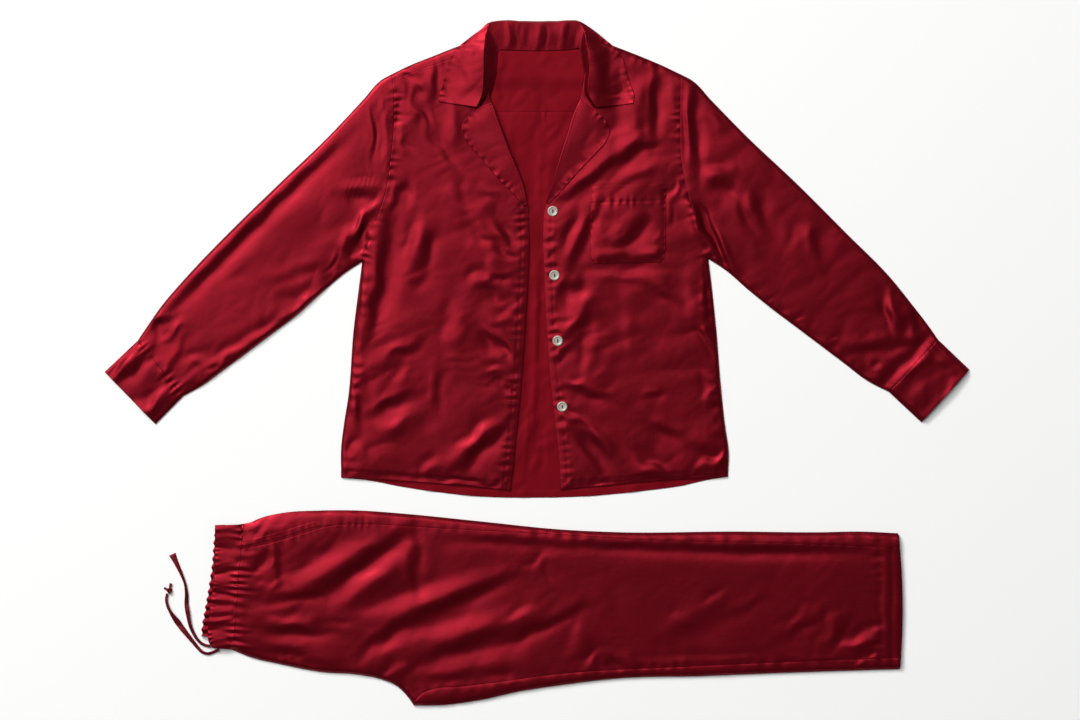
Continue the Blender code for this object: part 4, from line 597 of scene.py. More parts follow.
# %% Shirt drag lines
SHIRT_PULLS = [               # x0, y0, x1, y1, half width cm, slope
    # both front hems: the folded band swells, so it catches the light above its edge
    (-24.0, -16.4, -15.0, -16.9, 0.4, 0.3), (-17.5, -16.9, -9.0, -17.4, 0.4, 0.46),
    (-11.5, -17.3, -4.2, -17.9, 0.4, 0.5), (4.2, -17.9, 13.0, -17.4, 0.4, 0.4),
    (11.0, -17.5, 25.0, -16.5, 0.4, 0.36), (13.4, -13.2, 18.8, -15.5, 1.2, 0.1),
    (22.4, -15.4, 26.0, -12.4, 1.3, 0.05),
    # right front
    (-18.9, 41.4, -16.9, 41.0, 0.6, -0.2), (-19.2, 40.6, -19.0, 37.2, 0.7, -0.14),
    (-17.4, 39.8, -16.2, 37.4, 0.8, 0.2), (-14.7, 42.4, -14.6, 38.4, 0.6, -0.2),
    (-17.6, 37.0, -15.4, 33.4, 0.8, -0.16), (-15.6, 33.6, -11.4, 27.0, 0.8, -0.15),
    (-12.9, 36.8, -12.6, 31.0, 0.9, 0.16), (-14.7, 36.4, -14.2, 34.2, 0.4, -0.1),
    (-20.2, 32.0, -18.4, 35.4, 0.7, 0.16), (-19.6, 31.6, -18.0, 29.4, 0.6, -0.12),
    (-19.2, 25.6, -20.2, 22.4, 0.8, -0.18), (-21.4, 21.5, -22.6, 8.0, 1.3, -0.2),
    (-22.4, 12.0, -24.2, 3.0, 1.0, -0.18), (-24.9, 16.0, -25.7, 3.0, 0.6, 0.22),
    (-16.8, 20.0, -18.6, 14.5, 1.0, 0.2), (-15.2, 19.0, -16.2, 14.0, 0.8, -0.15),
    (-16.2, 12.3, -17.4, 10.7, 0.8, -0.12), (-13.0, 25.5, -9.5, 22.4, 1.2, 0.1),
    (-8.0, 25.2, -6.0, 23.0, 0.8, -0.12), (-5.9, 20.4, -3.4, 16.8, 0.9, -0.2),
    (-9.4, 20.6, -7.3, 16.6, 0.8, 0.16), (-7.6, 16.8, -3.4, 14.5, 0.8, 0.18),
    (-9.8, 11.2, -7.0, 13.8, 0.9, 0.17), (-6.8, 13.2, -3.8, 11.9, 0.6, -0.15),
    (-7.5, 10.8, -4.2, 9.6, 0.7, -0.15), (-6.3, 7.5, -3.8, 6.1, 0.8, 0.15),
    (-7.6, 4.5, -3.8, 1.0, 0.9, -0.26), (-7.2, -0.7, -3.6, -1.7, 0.7, 0.17),
    (-7.5, -2.9, -3.2, -3.3, 0.45, -0.18), (-4.8, -8.8, -10.0, -14.0, 0.8, -0.22),
    (-6.6, -8.4, -11.6, -12.9, 0.9, 0.18), (-14.2, -13.6, -16.4, -15.9, 0.8, 0.15),
    (-11.5, 8.5, -12.5, 2.5, 1.3, 0.1), (-21.4, 0.2, -17.6, 2.7, 0.9, -0.16),
    (-20.9, -3.4, -18.6, -1.1, 0.8, 0.16), (-23.4, -7.2, -17.6, -4.3, 0.9, -0.22),
    (-21.6, -9.0, -19.0, -7.6, 0.9, 0.18), (-13.9, -0.6, -14.4, -6.4, 0.8, -0.16),
    (-25.0, -3.0, -25.6, -8.6, 0.9, -0.2), (-25.2, -11.0, -26.6, -13.6, 0.8, 0.2),
    # left front
    (13.0, 40.5, 12.6, 31.5, 1.6, 0.16), (17.0, 41.5, 16.4, 31.4, 0.7, -0.24),
    (18.8, 40.0, 18.4, 34.0, 0.8, 0.12), (17.4, 31.8, 11.4, 29.6, 0.9, -0.18),
    (13.0, 30.2, 4.2, 23.8, 0.9, -0.22), (8.6, 30.6, 12.2, 33.8, 0.9, 0.1),
    (19.0, 29.0, 12.5, 27.2, 1.1, 0.12), (19.2, 25.2, 18.9, 22.4, 0.6, 0.18),
    (19.4, 22.2, 18.9, 20.4, 0.5, -0.16), (7.2, 22.6, 3.6, 14.8, 0.9, 0.2),
    (8.2, 22.0, 5.0, 14.2, 0.8, -0.2), (2.8, 9.2, 6.2, 12.8, 1.0, -0.18),
    (4.8, 7.4, 7.8, 11.2, 0.9, 0.18), (7.6, 7.4, 4.8, 4.2, 0.8, -0.15),
    (3.2, 4.8, 4.8, 6.2, 0.6, 0.14), (7.7, 4.4, 6.8, -1.2, 0.8, 0.16),
    (5.3, 2.8, 2.4, 0.3, 0.7, -0.16), (6.4, -2.0, 4.6, -3.0, 0.7, 0.16),
    (3.8, -3.4, 10.4, -5.2, 0.8, -0.2), (3.8, -6.9, 6.4, -8.2, 0.6, 0.22),
    (6.0, -8.0, 11.4, -14.4, 0.7, 0.24), (4.6, -9.2, 9.7, -16.4, 0.8, -0.22),
    (14.6, 11.8, 19.8, 8.8, 0.9, -0.16), (18.8, 12.9, 7.4, 12.7, 0.7, 0.12),
    (23.2, 5.6, 25.0, 2.2, 0.7, 0.22), (24.6, -2.2, 24.4, -5.0, 0.7, 0.2),
    (25.8, -12.6, 23.6, -14.9, 0.8, 0.2), (14.6, -13.6, 18.4, -16.2, 0.8, 0.18),
    (15.6, -7.8, 20.4, -11.2, 1.0, -0.16), (17.6, -3.8, 16.2, -5.4, 0.7, -0.12),
    (23.8, 12.4, 24.3, 5.6, 0.6, -0.18), (11.6, 6.8, 13.4, 2.2, 1.3, 0.1),
    # right sleeve
    (-23.4, 36.2, -23.5, 29.4, 0.35, -0.2), (-22.3, 37.4, -22.2, 30.6, 0.35, -0.18),
    (-28.0, 31.6, -41.0, 19.2, 0.9, -0.2), (-37.4, 22.8, -53.4, 6.6, 0.9, -0.24),
    (-51.0, -2.6, -38.0, 5.2, 0.7, 0.16), (-40.0, 4.0, -29.4, 11.4, 0.7, 0.2),
    (-26.8, 26.0, -23.0, 25.3, 0.4, 0.16), (-26.8, 24.0, -22.6, 24.0, 0.5, -0.22),
    (-26.3, 20.2, -22.4, 23.7, 0.4, 0.3), (-26.5, 16.4, -24.3, 20.8, 0.9, -0.5),
    (-25.7, 15.4, -24.2, 17.0, 0.4, 0.2), (-38.0, 11.6, -29.0, 14.6, 0.8, -0.1),
    (-37.0, 7.0, -30.4, 11.6, 0.9, 0.18), (-30.4, 13.4, -28.8, 15.8, 0.4, -0.14),
    (-54.6, 5.2, -53.0, 6.4, 0.8, -0.3), (-53.2, 3.8, -50.8, 6.2, 0.6, 0.18),
    (-52.6, -1.4, -50.0, 3.4, 0.6, -0.1), (-50.4, -0.2, -46.8, 1.4, 0.8, 0.12),
    (-48.6, -2.8, -44.6, 0.2, 0.6, 0.16),
    # left sleeve
    (21.1, 38.6, 21.4, 28.6, 0.4, 0.2), (22.4, 40.0, 22.8, 25.0, 0.8, -0.22),
    (24.4, 36.4, 27.2, 33.8, 0.8, 0.12), (22.8, 27.2, 28.0, 27.8, 0.7, 0.24),
    (24.4, 25.9, 29.0, 24.6, 0.8, -0.18), (28.8, 24.8, 31.2, 18.8, 0.9, 0.2),
    (31.0, 25.0, 33.4, 18.4, 0.8, -0.1), (22.2, 24.2, 25.2, 18.8, 0.45, 0.32),
    (24.6, 19.8, 27.5, 13.8, 0.7, 0.4), (22.2, 23.0, 25.4, 16.0, 0.9, -0.5),
    (37.2, 15.6, 38.4, 20.0, 1.2, 0.1), (39.4, 19.0, 41.0, 14.0, 1.2, -0.08),
    (49.6, 9.4, 51.4, 4.6, 0.9, 0.26), (52.6, 8.0, 55.2, 3.4, 1.0, -0.2),
    (44.0, 1.8, 54.6, 3.2, 0.9, -0.18), (57.0, 3.6, 49.8, -3.8, 0.8, 0.3),
    (46.8, -1.8, 49.2, -0.8, 0.6, 0.2), (41.6, 2.4, 42.8, 3.0, 0.3, 0.2),
    (36.8, 5.9, 38.2, 6.6, 0.3, 0.2), (33.0, 8.6, 34.4, 9.4, 0.3, 0.18),
    # cuffs
    (-57.4, 1.2, -60.8, -2.0, 0.7, 0.24), (-55.4, 2.0, -59.6, -2.6, 1.0, -0.24),
    (-57.2, -6.2, -53.4, -4.4, 1.1, 0.24), (-54.2, -0.2, -52.6, -3.2, 0.8, 0.1),
    (57.0, 1.0, 58.6, -1.8, 0.8, 0.12), (56.4, -3.2, 54.4, -6.6, 0.9, -0.1),
    (59.8, -2.0, 57.4, -4.8, 0.7, 0.14),
]
print("drag lines:", len(SHIRT_PULLS))

# %% [markdown]
# ## Height of the shirt's upper cloth
# At a folded or sewn edge the upper cloth turns down to the table like a
# quarter round. Inside, it stands off the back a little, higher in the middle
# of a panel than along its free edges, and carries the folds.

# %% Shirt edges and seams
STITCH_IN = 1.0               # cm from a front edge to its row of stitches


def rims_of(side):
    """Chains of the shirt's folded and sewn outer edges on one side, open at the cuff."""
    cuff = np.array(CUFF_END[side])
    low = np.concatenate([chain_of(SIDE_SEAM[side]), chain_of(SLEEVE_UNDER[side]), cuff[:1]])
    high = np.concatenate([cuff[1:], chain_of(SLEEVE_OVER[side])[::-1], chain_of(SHOULDER[side])])
    return [low, high]


SHIRT_RIMS = [chain for side in SIDES for chain in rims_of(side)]
FRONT_EDGES = [chain_of(FRONT_EDGE[side]) for side in SIDES]


def hem_line(side):
    """A front's hem, from the side seam to the front edge."""
    return np.array([SIDE_SEAM[side][0], FRONT_EDGE[side][0]])


def cuff_seam(side):
    """The seam between sleeve and cuff, from the sleeve's lower edge to its upper one."""
    return np.array([SLEEVE_UNDER[side][-1], SLEEVE_OVER[side][-1]])


FREE_EDGES = FRONT_EDGES + [hem_line(side) for side in SIDES]


def arm_point(side, level):
    """Place on the armhole at a height `level` cm up the shirt."""
    return np.stack([read_at(ARMHOLE[side], level, axis=1), np.asarray(level, float)], -1)


def forward_seam(side):
    """Table of the seam in front of the shoulder, from the armhole to the neck."""
    start = tuple(arm_point(side, FORWARD_LEVEL[side]))
    return [start] + FORWARD_SEAM[side] + [FRONT_EDGE[side][-1]]


def facing_row(side, low, high):
    """The front's edge moved in to the stitches of its facing, kept between two heights."""
    chain = chain_of(FRONT_EDGE[side], 40) + np.array([OUTWARD[side] * STITCH_IN, 0])
    return chain[(chain[:, 1] > low) & (chain[:, 1] < high)]


CUFF_PUCKER = {"right": 0.95, "left": 0.3}   # mm, the right cuff was drawn in harder
SHIRT_SEAMS = []              # chain, pitch cm, height mm, reach cm, groove mm
for side in SIDES:
    SHIRT_SEAMS += [
        (chain_of(ARMHOLE[side]), 1.35, 0.8, 1.0, 0.04),
        (chain_of(forward_seam(side)), 1.6, 0.35, 0.8, 0.06),
        (facing_row(side, -19, 23), 1.5, 0.8, 0.85, 0.25),
        (hem_line(side) + [0, 1.0], 1.7, 0.4, 0.7, 0.3),
        (cuff_seam(side), 1.1, CUFF_PUCKER[side], 1.0, 0.05),
        (chain_of(SIDE_SEAM[side]) - [OUTWARD[side] * 0.9, 0], 2.1, 0.55, 1.0, 0.0),
        (chain_of(SLEEVE_UNDER[side]) + [0, 0.9], 2.4, 0.5, 1.0, 0.0),
    ]
print("shirt seams:", len(SHIRT_SEAMS))

# %% Height of the shirt
RIM = 0.8                     # mm, upper cloth at the very edge
TURN = 0.55                   # cm, how far in from the edge the cloth turns down
SHIRT_LEVEL = 3.0             # mm, upper cloth just inside an edge
SHIRT_LOFT = 2.4              # mm, how far the middle of a panel stands higher
LOFT_REACH = 1.1              # cm
OPEN_LOFT = 0.25              # share of the loft that is left at a free edge
SHIRT_FLOOR = 1.7             # mm, the upper cloth never dips below it
FALL_LIFT = 1.8               # mm, the collar's fall lifts what lies over it
FOLD_GAIN, PULL_GAIN = 0.7, 1.7   # the drag lines carry most of each fold
MOUNDS, CREASES = 0.55, 0.14  # mm, the wide and the narrow crumple
FREE_CALM = 1.5               # cm, how far in from a free edge the folds are weaker
FALL_HALF, FALL_FOOT = 12.0, 38.6   # cm, half width of the hidden fall and its lowest place


def collar_lift(points, spread=0.0):
    """Rise over the collar's hidden fall behind the neck, in mm; wider for upper layers."""
    sideways = smooth_step((FALL_HALF + spread - np.abs(points[..., 0])) / 2.6)
    upward = smooth_step((points[..., 1] - FALL_FOOT + spread) / 2.4)
    return FALL_LIFT * sideways * upward


def shirt_height(points):
    """Height of the upper cloth in mm over places in cm: edge turn + loft + folds + puckers."""
    edge = np.minimum.reduce([near(chain, points)[0] for chain in SHIRT_RIMS])
    free = np.minimum.reduce([near(chain, points)[0] for chain in FREE_EDGES])
    open_side = OPEN_LOFT + (1 - OPEN_LOFT) * (1 - np.exp(-free / LOFT_REACH))
    level = SHIRT_LEVEL + SHIRT_LOFT * (1 - np.exp(-edge / LOFT_REACH)) * open_side
    folds = relief(points, SHIRT_FOLDS, FOLD_GAIN)
    folds += pulls(points, SHIRT_PULLS, PULL_GAIN)
    crumpled = MOUNDS * crumple(points, 5.6, 11, 62.0, 1.7)
    crumpled += CREASES * crumple(points, 3.0, 12, 40.0, 1.6)
    folds += crumpled
    folds *= 0.35 + 0.65 * np.clip(free / FREE_CALM, 0, 1)
    folds += puckers(points, SHIRT_SEAMS)
    height = floored(level + folds, SHIRT_FLOOR, 0.5) + collar_lift(points, 1.2)
    return RIM + (height - RIM) * quarter_round(edge, TURN)


probe = shirt_height(np.array([[-15.0, 10.0], [12.0, 0.0], [-40.0, 12.0], [27.0, 0.0]]))
print("upper cloth at four places:", probe.round(1), "mm")

# %% [markdown]
# ## From heights to cloth
# A panel is a grid of places. `turn_under` folds one side of it back below
# itself, as a hem or a facing is folded, and `cloth` lifts the places to their
# heights and makes the mesh. A Solidify modifier gives it the satin's body, and
# area-weighted normals keep the thin rim from darkening the face beside it.

# %% Places and folded edges
FOLD_ROUND = 0.06             # cm, radius of a pressed fold


def in_space(points, height):
    """Places in cm and heights in mm as points in metres."""
    height = np.broadcast_to(height, points.shape[:-1])
    return np.concatenate([points * CM, height[..., None] * MM], -1)


def turn_under(points, drop, *folds):
    """Adds lines past the sides of a grid: half round each fold, then back below the cloth.

    A fold is (side, depth cm, thickness mm). `drop` is how far each place lies
    below the height field, in mm. Round the fold it grows by
    thick (1 - cos t) / 2 while the line swings out by FOLD_ROUND sin t, and
    then stays as the line runs `depth` inwards.
    """
    drop = np.broadcast_to(drop, points.shape[:-1])
    turn = np.radians([45, 90, 135, 180])
    for side, depth, thick in folds:
        end, line = side.split("_")
        axis, last = ("row", "column").index(line), end == "last"
        grid, low = np.moveaxis(points, axis, 0), np.moveaxis(drop, axis, 0)
        if last:
            grid, low = grid[::-1], low[::-1]
        inward = unit(grid[2] - grid[0])
        out = [grid[0] - inward * FOLD_ROUND * np.sin(t) for t in turn]
        down = [low[0] + thick * (1 - np.cos(t)) / 2 for t in turn]
        out += [grid[0] + inward * depth * share for share in (0.33, 0.66, 1.0)]
        down += [low[0] + thick] * 3
        grid = np.concatenate([np.stack(out)[::-1], grid])
        low = np.concatenate([np.stack(down)[::-1], low])
        if last:
            grid, low = grid[::-1], low[::-1]
        points, drop = np.moveaxis(grid, 0, axis), np.moveaxis(low, 0, axis)
    return points, drop


print("radius of a fold:", FOLD_ROUND * 10, "mm")

# %% Grid to mesh
def cell_corners(rows, columns, ring=False):
    """Four corner numbers of every cell, with the closing column of a ring."""
    row, column = np.meshgrid(np.arange(rows - 1), np.arange(columns if ring else columns - 1),
                              indexing="ij")
    after = (column + 1) % columns
    corners = [row * columns + column, row * columns + after,
               (row + 1) * columns + after, (row + 1) * columns + column]
    return np.stack([c.ravel() for c in corners], 1)


def mesh_from(name, vertices, faces, weave=None):
    """A smooth-shaded mesh object from vertex and quad arrays, with its weave map in metres."""
    mesh = bpy.data.meshes.new(name)
    mesh.vertices.add(len(vertices))
    mesh.vertices.foreach_set("co", np.asarray(vertices, np.float32).ravel())
    mesh.loops.add(faces.size)
    mesh.loops.foreach_set("vertex_index", faces.astype(np.int32).ravel())
    mesh.polygons.add(len(faces))
    mesh.polygons.foreach_set("loop_start", np.arange(0, faces.size, 4, dtype=np.int32))
    mesh.polygons.foreach_set("loop_total", np.full(len(faces), 4, np.int32))
    mesh.update(calc_edges=True)
    if weave is not None:
        layer = mesh.uv_layers.new(name="weave")
        layer.data.foreach_set("uv", np.asarray(weave, np.float32)[faces.ravel()].ravel())
    mesh.shade_smooth()
    return placed(name, mesh)


def upward_sign(vertices, faces):
    """+1 where the faces of a flat sheet look up, else -1."""
    a, b, c, d = (vertices[faces[:, i]] for i in range(4))
    normal = np.cross(c - a, d - b)
    return 1.0 if normal[:, 2].sum() >= 0 else -1.0


def volume_sign(vertices, faces):
    """+1 where a closed ring's faces look out: the sum of a . (b x c) over its triangles."""
    a, b, c, d = (vertices[faces[:, i]] - vertices.mean(0) for i in range(4))
    total = (a * np.cross(b, c)).sum() + (a * np.cross(c, d)).sum()
    return 1.0 if total >= 0 else -1.0


def facing_out(vertices, faces, sign=volume_sign):
    """The faces, turned over where they would look inwards."""
    return faces if sign(vertices, faces) > 0 else faces[:, ::-1]


print("cells of a ring of 3 rows and 4 columns:", len(cell_corners(3, 4, True)))

# %% Cloth pieces
SATIN_BODY = 0.35             # mm, cloth drawn this thick


def finished(piece, material, slot, *nodes):
    """Gives a piece its material and its body, and hides the solids that it stands for; `slot` is
    not used.
    """
    piece.data.materials.append(material)
    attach(piece, "root")
    if nodes:
        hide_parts(*nodes)
    return piece


def cloth(name, points, height, material, node, slot="crimson_satin", warp=90.0, ring=False,
          body=SATIN_BODY):
    """A piece of cloth over a grid of places: mesh, weave map, thickness, finish and frame.

    The weave map turns the places so that its first axis runs with the warp.
    """
    solid = in_space(points, height).reshape(-1, 3)
    faces = facing_out(solid, cell_corners(*points.shape[:2], ring),
                       volume_sign if ring else upward_sign)
    piece = mesh_from(name, solid, faces, points.reshape(-1, 2) @ turning(warp) * CM)
    wall = piece.modifiers.new("satin_body", "SOLIDIFY")
    wall.thickness, wall.offset = body * MM, -1.0
    crisp = piece.modifiers.new("crisp_rim", "WEIGHTED_NORMAL")
    crisp.mode, crisp.weight = "FACE_AREA", 50
    return finished(piece, material, slot, node)


def tell(title, *pieces):
    """Prints how many faces each new piece has."""
    print(title, [len(piece.data.polygons) for piece in pieces], "faces")


print("cloth body:", SATIN_BODY, "mm")

# %% [markdown]
# ## Back and yoke
# The shirt lies on its back, so the back panel rests on the table and its dull
# inside shows between the fronts. Cloth at rest is flat where it touches and
# creeps up in shallow waves elsewhere. The yoke is a second panel above it, and
# the seam between them is pressed flat, with one small tuck near its middle.

# %% Inside of the back
BACK_FOLDS = [                # x0, y0, x1, y1, half width cm, height mm, bend cm
    (-0.3, 22.0, -0.6, -17.0, 0.7, 0.9, 0.2), (0.9, 20.0, 0.6, -16.0, 0.6, -0.6, -0.3),
    (-2.6, 33.0, -0.9, 14.0, 0.8, 0.6, 0.0), (2.4, 33.5, 1.2, 16.0, 0.7, 0.6, 0.0),
    (0.2, 34.5, 0.3, 20.0, 0.6, 0.5, 0.1), (-3.9, 35.2, -3.4, 27.5, 0.5, 0.5, 0.0),
    (1.15, 37.2, 1.0, 33.9, 0.22, 0.7, 0.0), (-1.2, -6.0, -2.0, -18.0, 0.5, 0.7, 0.0),
    (-7.2, 39.0, -1.3, 22.0, 0.6, 1.0, 0.0), (-1.4, 28.0, -2.2, -6.0, 0.6, 1.1, 0.0),
    (-1.9, 8.0, -3.7, -18.0, 0.6, 0.9, 0.0),
]
BACK_PULLS = [                # x0, y0, x1, y1, half width cm, slope
    (-1.9, 16.0, -1.6, 2.0, 0.6, -0.06), (0.2, 12.0, 0.6, -6.0, 0.6, -0.07),
    (0.9, 14.0, 1.4, -2.0, 0.5, 0.05), (-0.4, -7.0, -1.8, -15.0, 0.6, -0.1),
    (-2.6, -8.0, -3.0, -16.0, 0.5, 0.06), (1.4, -10.0, 0.9, -17.0, 0.6, 0.05),
    (-4.9, 44.2, -5.9, 37.6, 0.6, -0.2),
]
REST_GAP = 0.06               # mm, between the table and the cloth on it
RISE_LIMIT = 0.85             # mm, most that resting cloth creeps up


def resting(points):
    """Height of the outer face of cloth on the table, in mm: gap + shallow positive waves."""
    waves = 0.75 * crumple(points, 6.0, 21, 75.0, 2.6) + 0.35 * crumple(points, 2.6, 22, 60.0)
    return REST_GAP + np.clip(waves, 0, RISE_LIMIT)


def side_chain(side, level):
    """Side seam below the underarm and armhole above it, read at heights in cm."""
    underarm = ARMHOLE[side][0][1]
    below = read_at(SIDE_SEAM[side], np.minimum(level, underarm), axis=1)
    above = read_at(ARMHOLE[side], np.maximum(level, underarm), axis=1)
    return np.stack([np.where(level < underarm, below, above), level], 1)


BACK_FLOOR = 0.52             # mm, lowest place of the back's inside
SEAM_DIP, YOKE_STEP = 0.03, 0.12   # mm, groove at the yoke's seam and the yoke's edge over it


def inside_back(points):
    """Inside face of the back, in mm: resting height + cloth + its own long soft ripples."""
    rise = resting(points) + SATIN_BODY + relief(points, BACK_FOLDS) + 0.1
    rise += 0.25 + pulls(points, BACK_PULLS)
    past = points[..., 1] - YOKE_Y
    seam = np.exp(-(past / 0.09) ** 2)
    step = np.exp(-np.clip(past, 0, None) / 0.6)
    return np.clip(rise, BACK_FLOOR, None) - SEAM_DIP * seam + YOKE_STEP * step * (past > 0)


print("inside of the back at its middle:", inside_back(np.zeros((1, 2))).round(2), "mm")

# %% Back and yoke
BACK_ROWS, BACK_COLUMNS = 134, 116
YOKE_ROWS, YOKE_COLUMNS = 36, 130
BACK_INSET = 0.08             # cm, the back ends just inside the side seams


def shirt_back():
    """Back panel: Coons patch between both sides, the curved hem and the yoke seam.

    Its columns crowd to the middle, which shows between the fronts, as 0.35 u + 0.65 u^3.
    """
    reach = np.linspace(-1, 1, BACK_COLUMNS)
    shares = 0.5 + (0.35 * reach + 0.65 * reach ** 3) / 2
    sides = []
    for side in SIDES:
        chain = side_chain(side, np.linspace(SIDE_SEAM[side][0][1], YOKE_Y, BACK_ROWS))
        sides.append(chain - [OUTWARD[side] * BACK_INSET, 0])
    hem = along(BACK_HEM, shares)
    hem[0], hem[-1] = sides[0][0], sides[1][0]
    top = ruled(sides[0][-1:], sides[1][-1:], shares)[0]
    points = patch(*sides, hem, top, shares, np.linspace(0, 1, BACK_ROWS))
    points, drop = turn_under(points, 0.0, ("first_row", 1.0, 0.3))
    return cloth("shirt_back_cloth", points, inside_back(points) - drop, REVERSE,
                 "shirt_back", "crimson_satin_reverse")


def shirt_yoke():
    """Yoke: Coons patch from the straight seam to the shoulders and the neck."""
    shares = packed(YOKE_COLUMNS, 0.3)
    ends = [arm_point(side, np.linspace(YOKE_Y, ARMHOLE[side][-1][1], YOKE_ROWS))
            for side in SIDES]
    crest = np.concatenate([along(SHOULDER["right"], np.linspace(0, 1, 6)),
                            along(NECK_SEAM, np.linspace(0, 1, 9))[1:-1],
                            along(SHOULDER["left"], np.linspace(1, 0, 6))])
    top = spans(np.linspace(0, 1, len(crest)), crest, shares)
    bottom = ruled(ends[0][:1], ends[1][:1], shares)[0]
    points = patch(*ends, bottom, top, shares, np.linspace(0, 1, YOKE_ROWS))
    return cloth("shirt_yoke_cloth", points, inside_back(points) + collar_lift(points), REVERSE,
                 "shirt_back_yoke", "crimson_satin_reverse")


tell("back and yoke:", shirt_back(), shirt_yoke())

# %% [markdown]
# ## Fronts and shoulder strips
# A front runs from the side seam and the armhole to its own free edge, which is
# folded back as a facing. The top of the yoke comes over the shoulder as a
# narrow strip, so the seam lies a little in front of the shoulder's fold.

# %% Fronts
FRONT_ROWS, FRONT_COLUMNS = 300, 76
STRIP_ROWS, STRIP_COLUMNS = 60, 12
FACING, HEM = 1.2, 1.0        # cm, depth of the folded facing and hem


def shirt_front(side):
    """A front: Coons patch; each row joins the side to the front edge at a matching height."""
    outer = side_chain(side, np.linspace(SIDE_SEAM[side][0][1], FORWARD_LEVEL[side], FRONT_ROWS))
    rise = np.linspace(0, 1, FRONT_ROWS)
    level = FRONT_EDGE[side][0][1] + (FRONT_EDGE[side][-1][1] - FRONT_EDGE[side][0][1]) * rise
    inner = np.stack([read_at(FRONT_EDGE[side], level, axis=1), level], 1)
    shares = packed(FRONT_COLUMNS, 0.5)
    hem = ruled(outer[:1], inner[:1], shares)[0]
    hem[:, 1] += FRONT_HEM_SAG * np.sin(np.pi * shares)
    points = patch(outer, inner, hem, along(forward_seam(side), shares), shares, rise)
    points, drop = turn_under(points, 0.0, ("last_column", FACING, 1.1), ("first_row", HEM, 0.9))
    height = np.maximum(shirt_height(points) - drop, SATIN_BODY + 0.1)
    return cloth(f"shirt_front_{side}_cloth", points, height, SATIN, f"shirt_front_{side}")


def shoulder_strip(side):
    """The strip between the shoulder's fold and the forward seam: a ruled patch."""
    shares = np.linspace(0, 1, STRIP_ROWS)
    points = ruled(along(SHOULDER[side], shares), along(forward_seam(side), shares),
                   packed(STRIP_COLUMNS, 0.3))
    return cloth(f"yoke_shoulder_{side}_cloth", points, shirt_height(points), SATIN,
                 f"yoke_shoulder_{side}")


tell("fronts and strips:", *map(shirt_front, SIDES), *map(shoulder_strip, SIDES))

# %% [markdown]
# ## Sleeves and cuffs
# A sleeve is one piece of cloth sewn into a tube and pressed flat: its grid is a
# ring, over the top and back along the table. The cuff is a firmer tube whose
# open end is folded in.

# %% Sleeves and cuffs
SLEEVE_ROWS, CUFF_ROWS = 210, 34
TUBE_TOP, TUBE_UNDERSIDE = 62, 30   # columns over the top and back below
SLEEVE_WARP = {"right": 42.0, "left": 138.0}   # degrees
CUFF_WARP = {"right": 132.0, "left": 48.0}
CUFF_BODY = 0.5               # mm, a cuff's firmer cloth
CUFF_FOLDED, CUFF_LONG = 1.6, 6.4   # cm, depth of the folded-in end and length of the cuff
INNER_LAYER = 0.965           # the folded-in end is a little narrower than the cuff
TUBE_AIR = 0.6                # mm, least gap between the two layers of a tube
CUFF_RISE = {"right": -1.0, "left": 2.4}   # mm, from the cuff's seam to its open end


def flat_tube(name, low, high, node, warp, end=None, body=SATIN_BODY, rise=None):
    """A flattened tube between two edge lines: upper grid and resting grid joined as rings.

    `end` gives the places of the last row, straight across where there is none. With `rise`, mm
    from the first row to the last, the last row is an open end whose cloth is folded in.
    """
    stations = np.linspace(0, 1, len(low))
    grids, drops = [], [0.0, 0.0]
    for shares in (packed(TUBE_TOP, 0.5), np.linspace(0.995, 0.005, TUBE_UNDERSIDE)):
        last = end(shares) if end else ruled(low[-1:], high[-1:], shares)[0]
        grids.append(patch(low, high, ruled(low[:1], high[:1], shares)[0], last, shares, stations))
    if rise is not None:
        for index, thick in enumerate((0.9, 0.7)):
            grid, drops[index] = turn_under(grids[index], 0.0, ("last_row", CUFF_FOLDED, thick))
            inner = grid[-4:]
            middle = (inner[:, :1] + inner[:, -1:]) / 2
            grid[-4:] = middle + (inner - middle) * INNER_LAYER
            grids[index] = grid
    top = shirt_height(grids[0]) - drops[0]
    if rise is not None:
        gone = near(np.stack([low[0], high[0]]), grids[0])[0]
        edge = np.minimum(near(low, grids[0])[0], near(high, grids[0])[0])
        top += rise * np.clip(gone / CUFF_LONG, 0, 1) * smooth_step(edge / 0.8)
    under = resting(grids[1]) + drops[1]
    top = np.maximum(top, 2 * body + TUBE_AIR)
    return cloth(name, np.concatenate(grids, 1), np.concatenate([top, under], 1), SATIN, node,
                 warp=warp, ring=True, body=body)


def sleeve(side):
    """A sleeve from the cuff seam to the armhole."""
    stations = np.linspace(0, 1, SLEEVE_ROWS)
    low, high = (along(table[side], 1 - stations) for table in (SLEEVE_UNDER, SLEEVE_OVER))
    return flat_tube(f"sleeve_{side}_cloth", low, high, f"sleeve_{side}", SLEEVE_WARP[side],
                     end=lambda shares: along(ARMHOLE[side], shares))


def cuff(side):
    """A cuff from the sleeve's seam to its open end."""
    start, end = cuff_seam(side), np.array(CUFF_END[side])
    stations = np.linspace(0, 1, CUFF_ROWS)[:, None]
    low, high = (start[i] * (1 - stations) + end[i] * stations for i in (0, 1))
    return flat_tube(f"cuff_{side}_cloth", low, high, f"cuff_{side}", CUFF_WARP[side],
                     body=CUFF_BODY, rise=CUFF_RISE[side])


tell("sleeves and cuffs:", *map(sleeve, SIDES), *map(cuff, SIDES))

# %% [markdown]
# ## Collar and lapels
# A camp collar folds back along one soft roll line that runs right round the
# neck. Inside the roll is the stand, which goes down to the neck seam, and
# outside it the fall, whose two leaves lie on the fronts. Behind the neck the
# fall is hidden, so the stand shows there as a gathered band. One grid makes
# both: each section runs from the stand's foot over the roll to the fall's edge.
# The lapel is the front's own facing, turned out along the same roll.

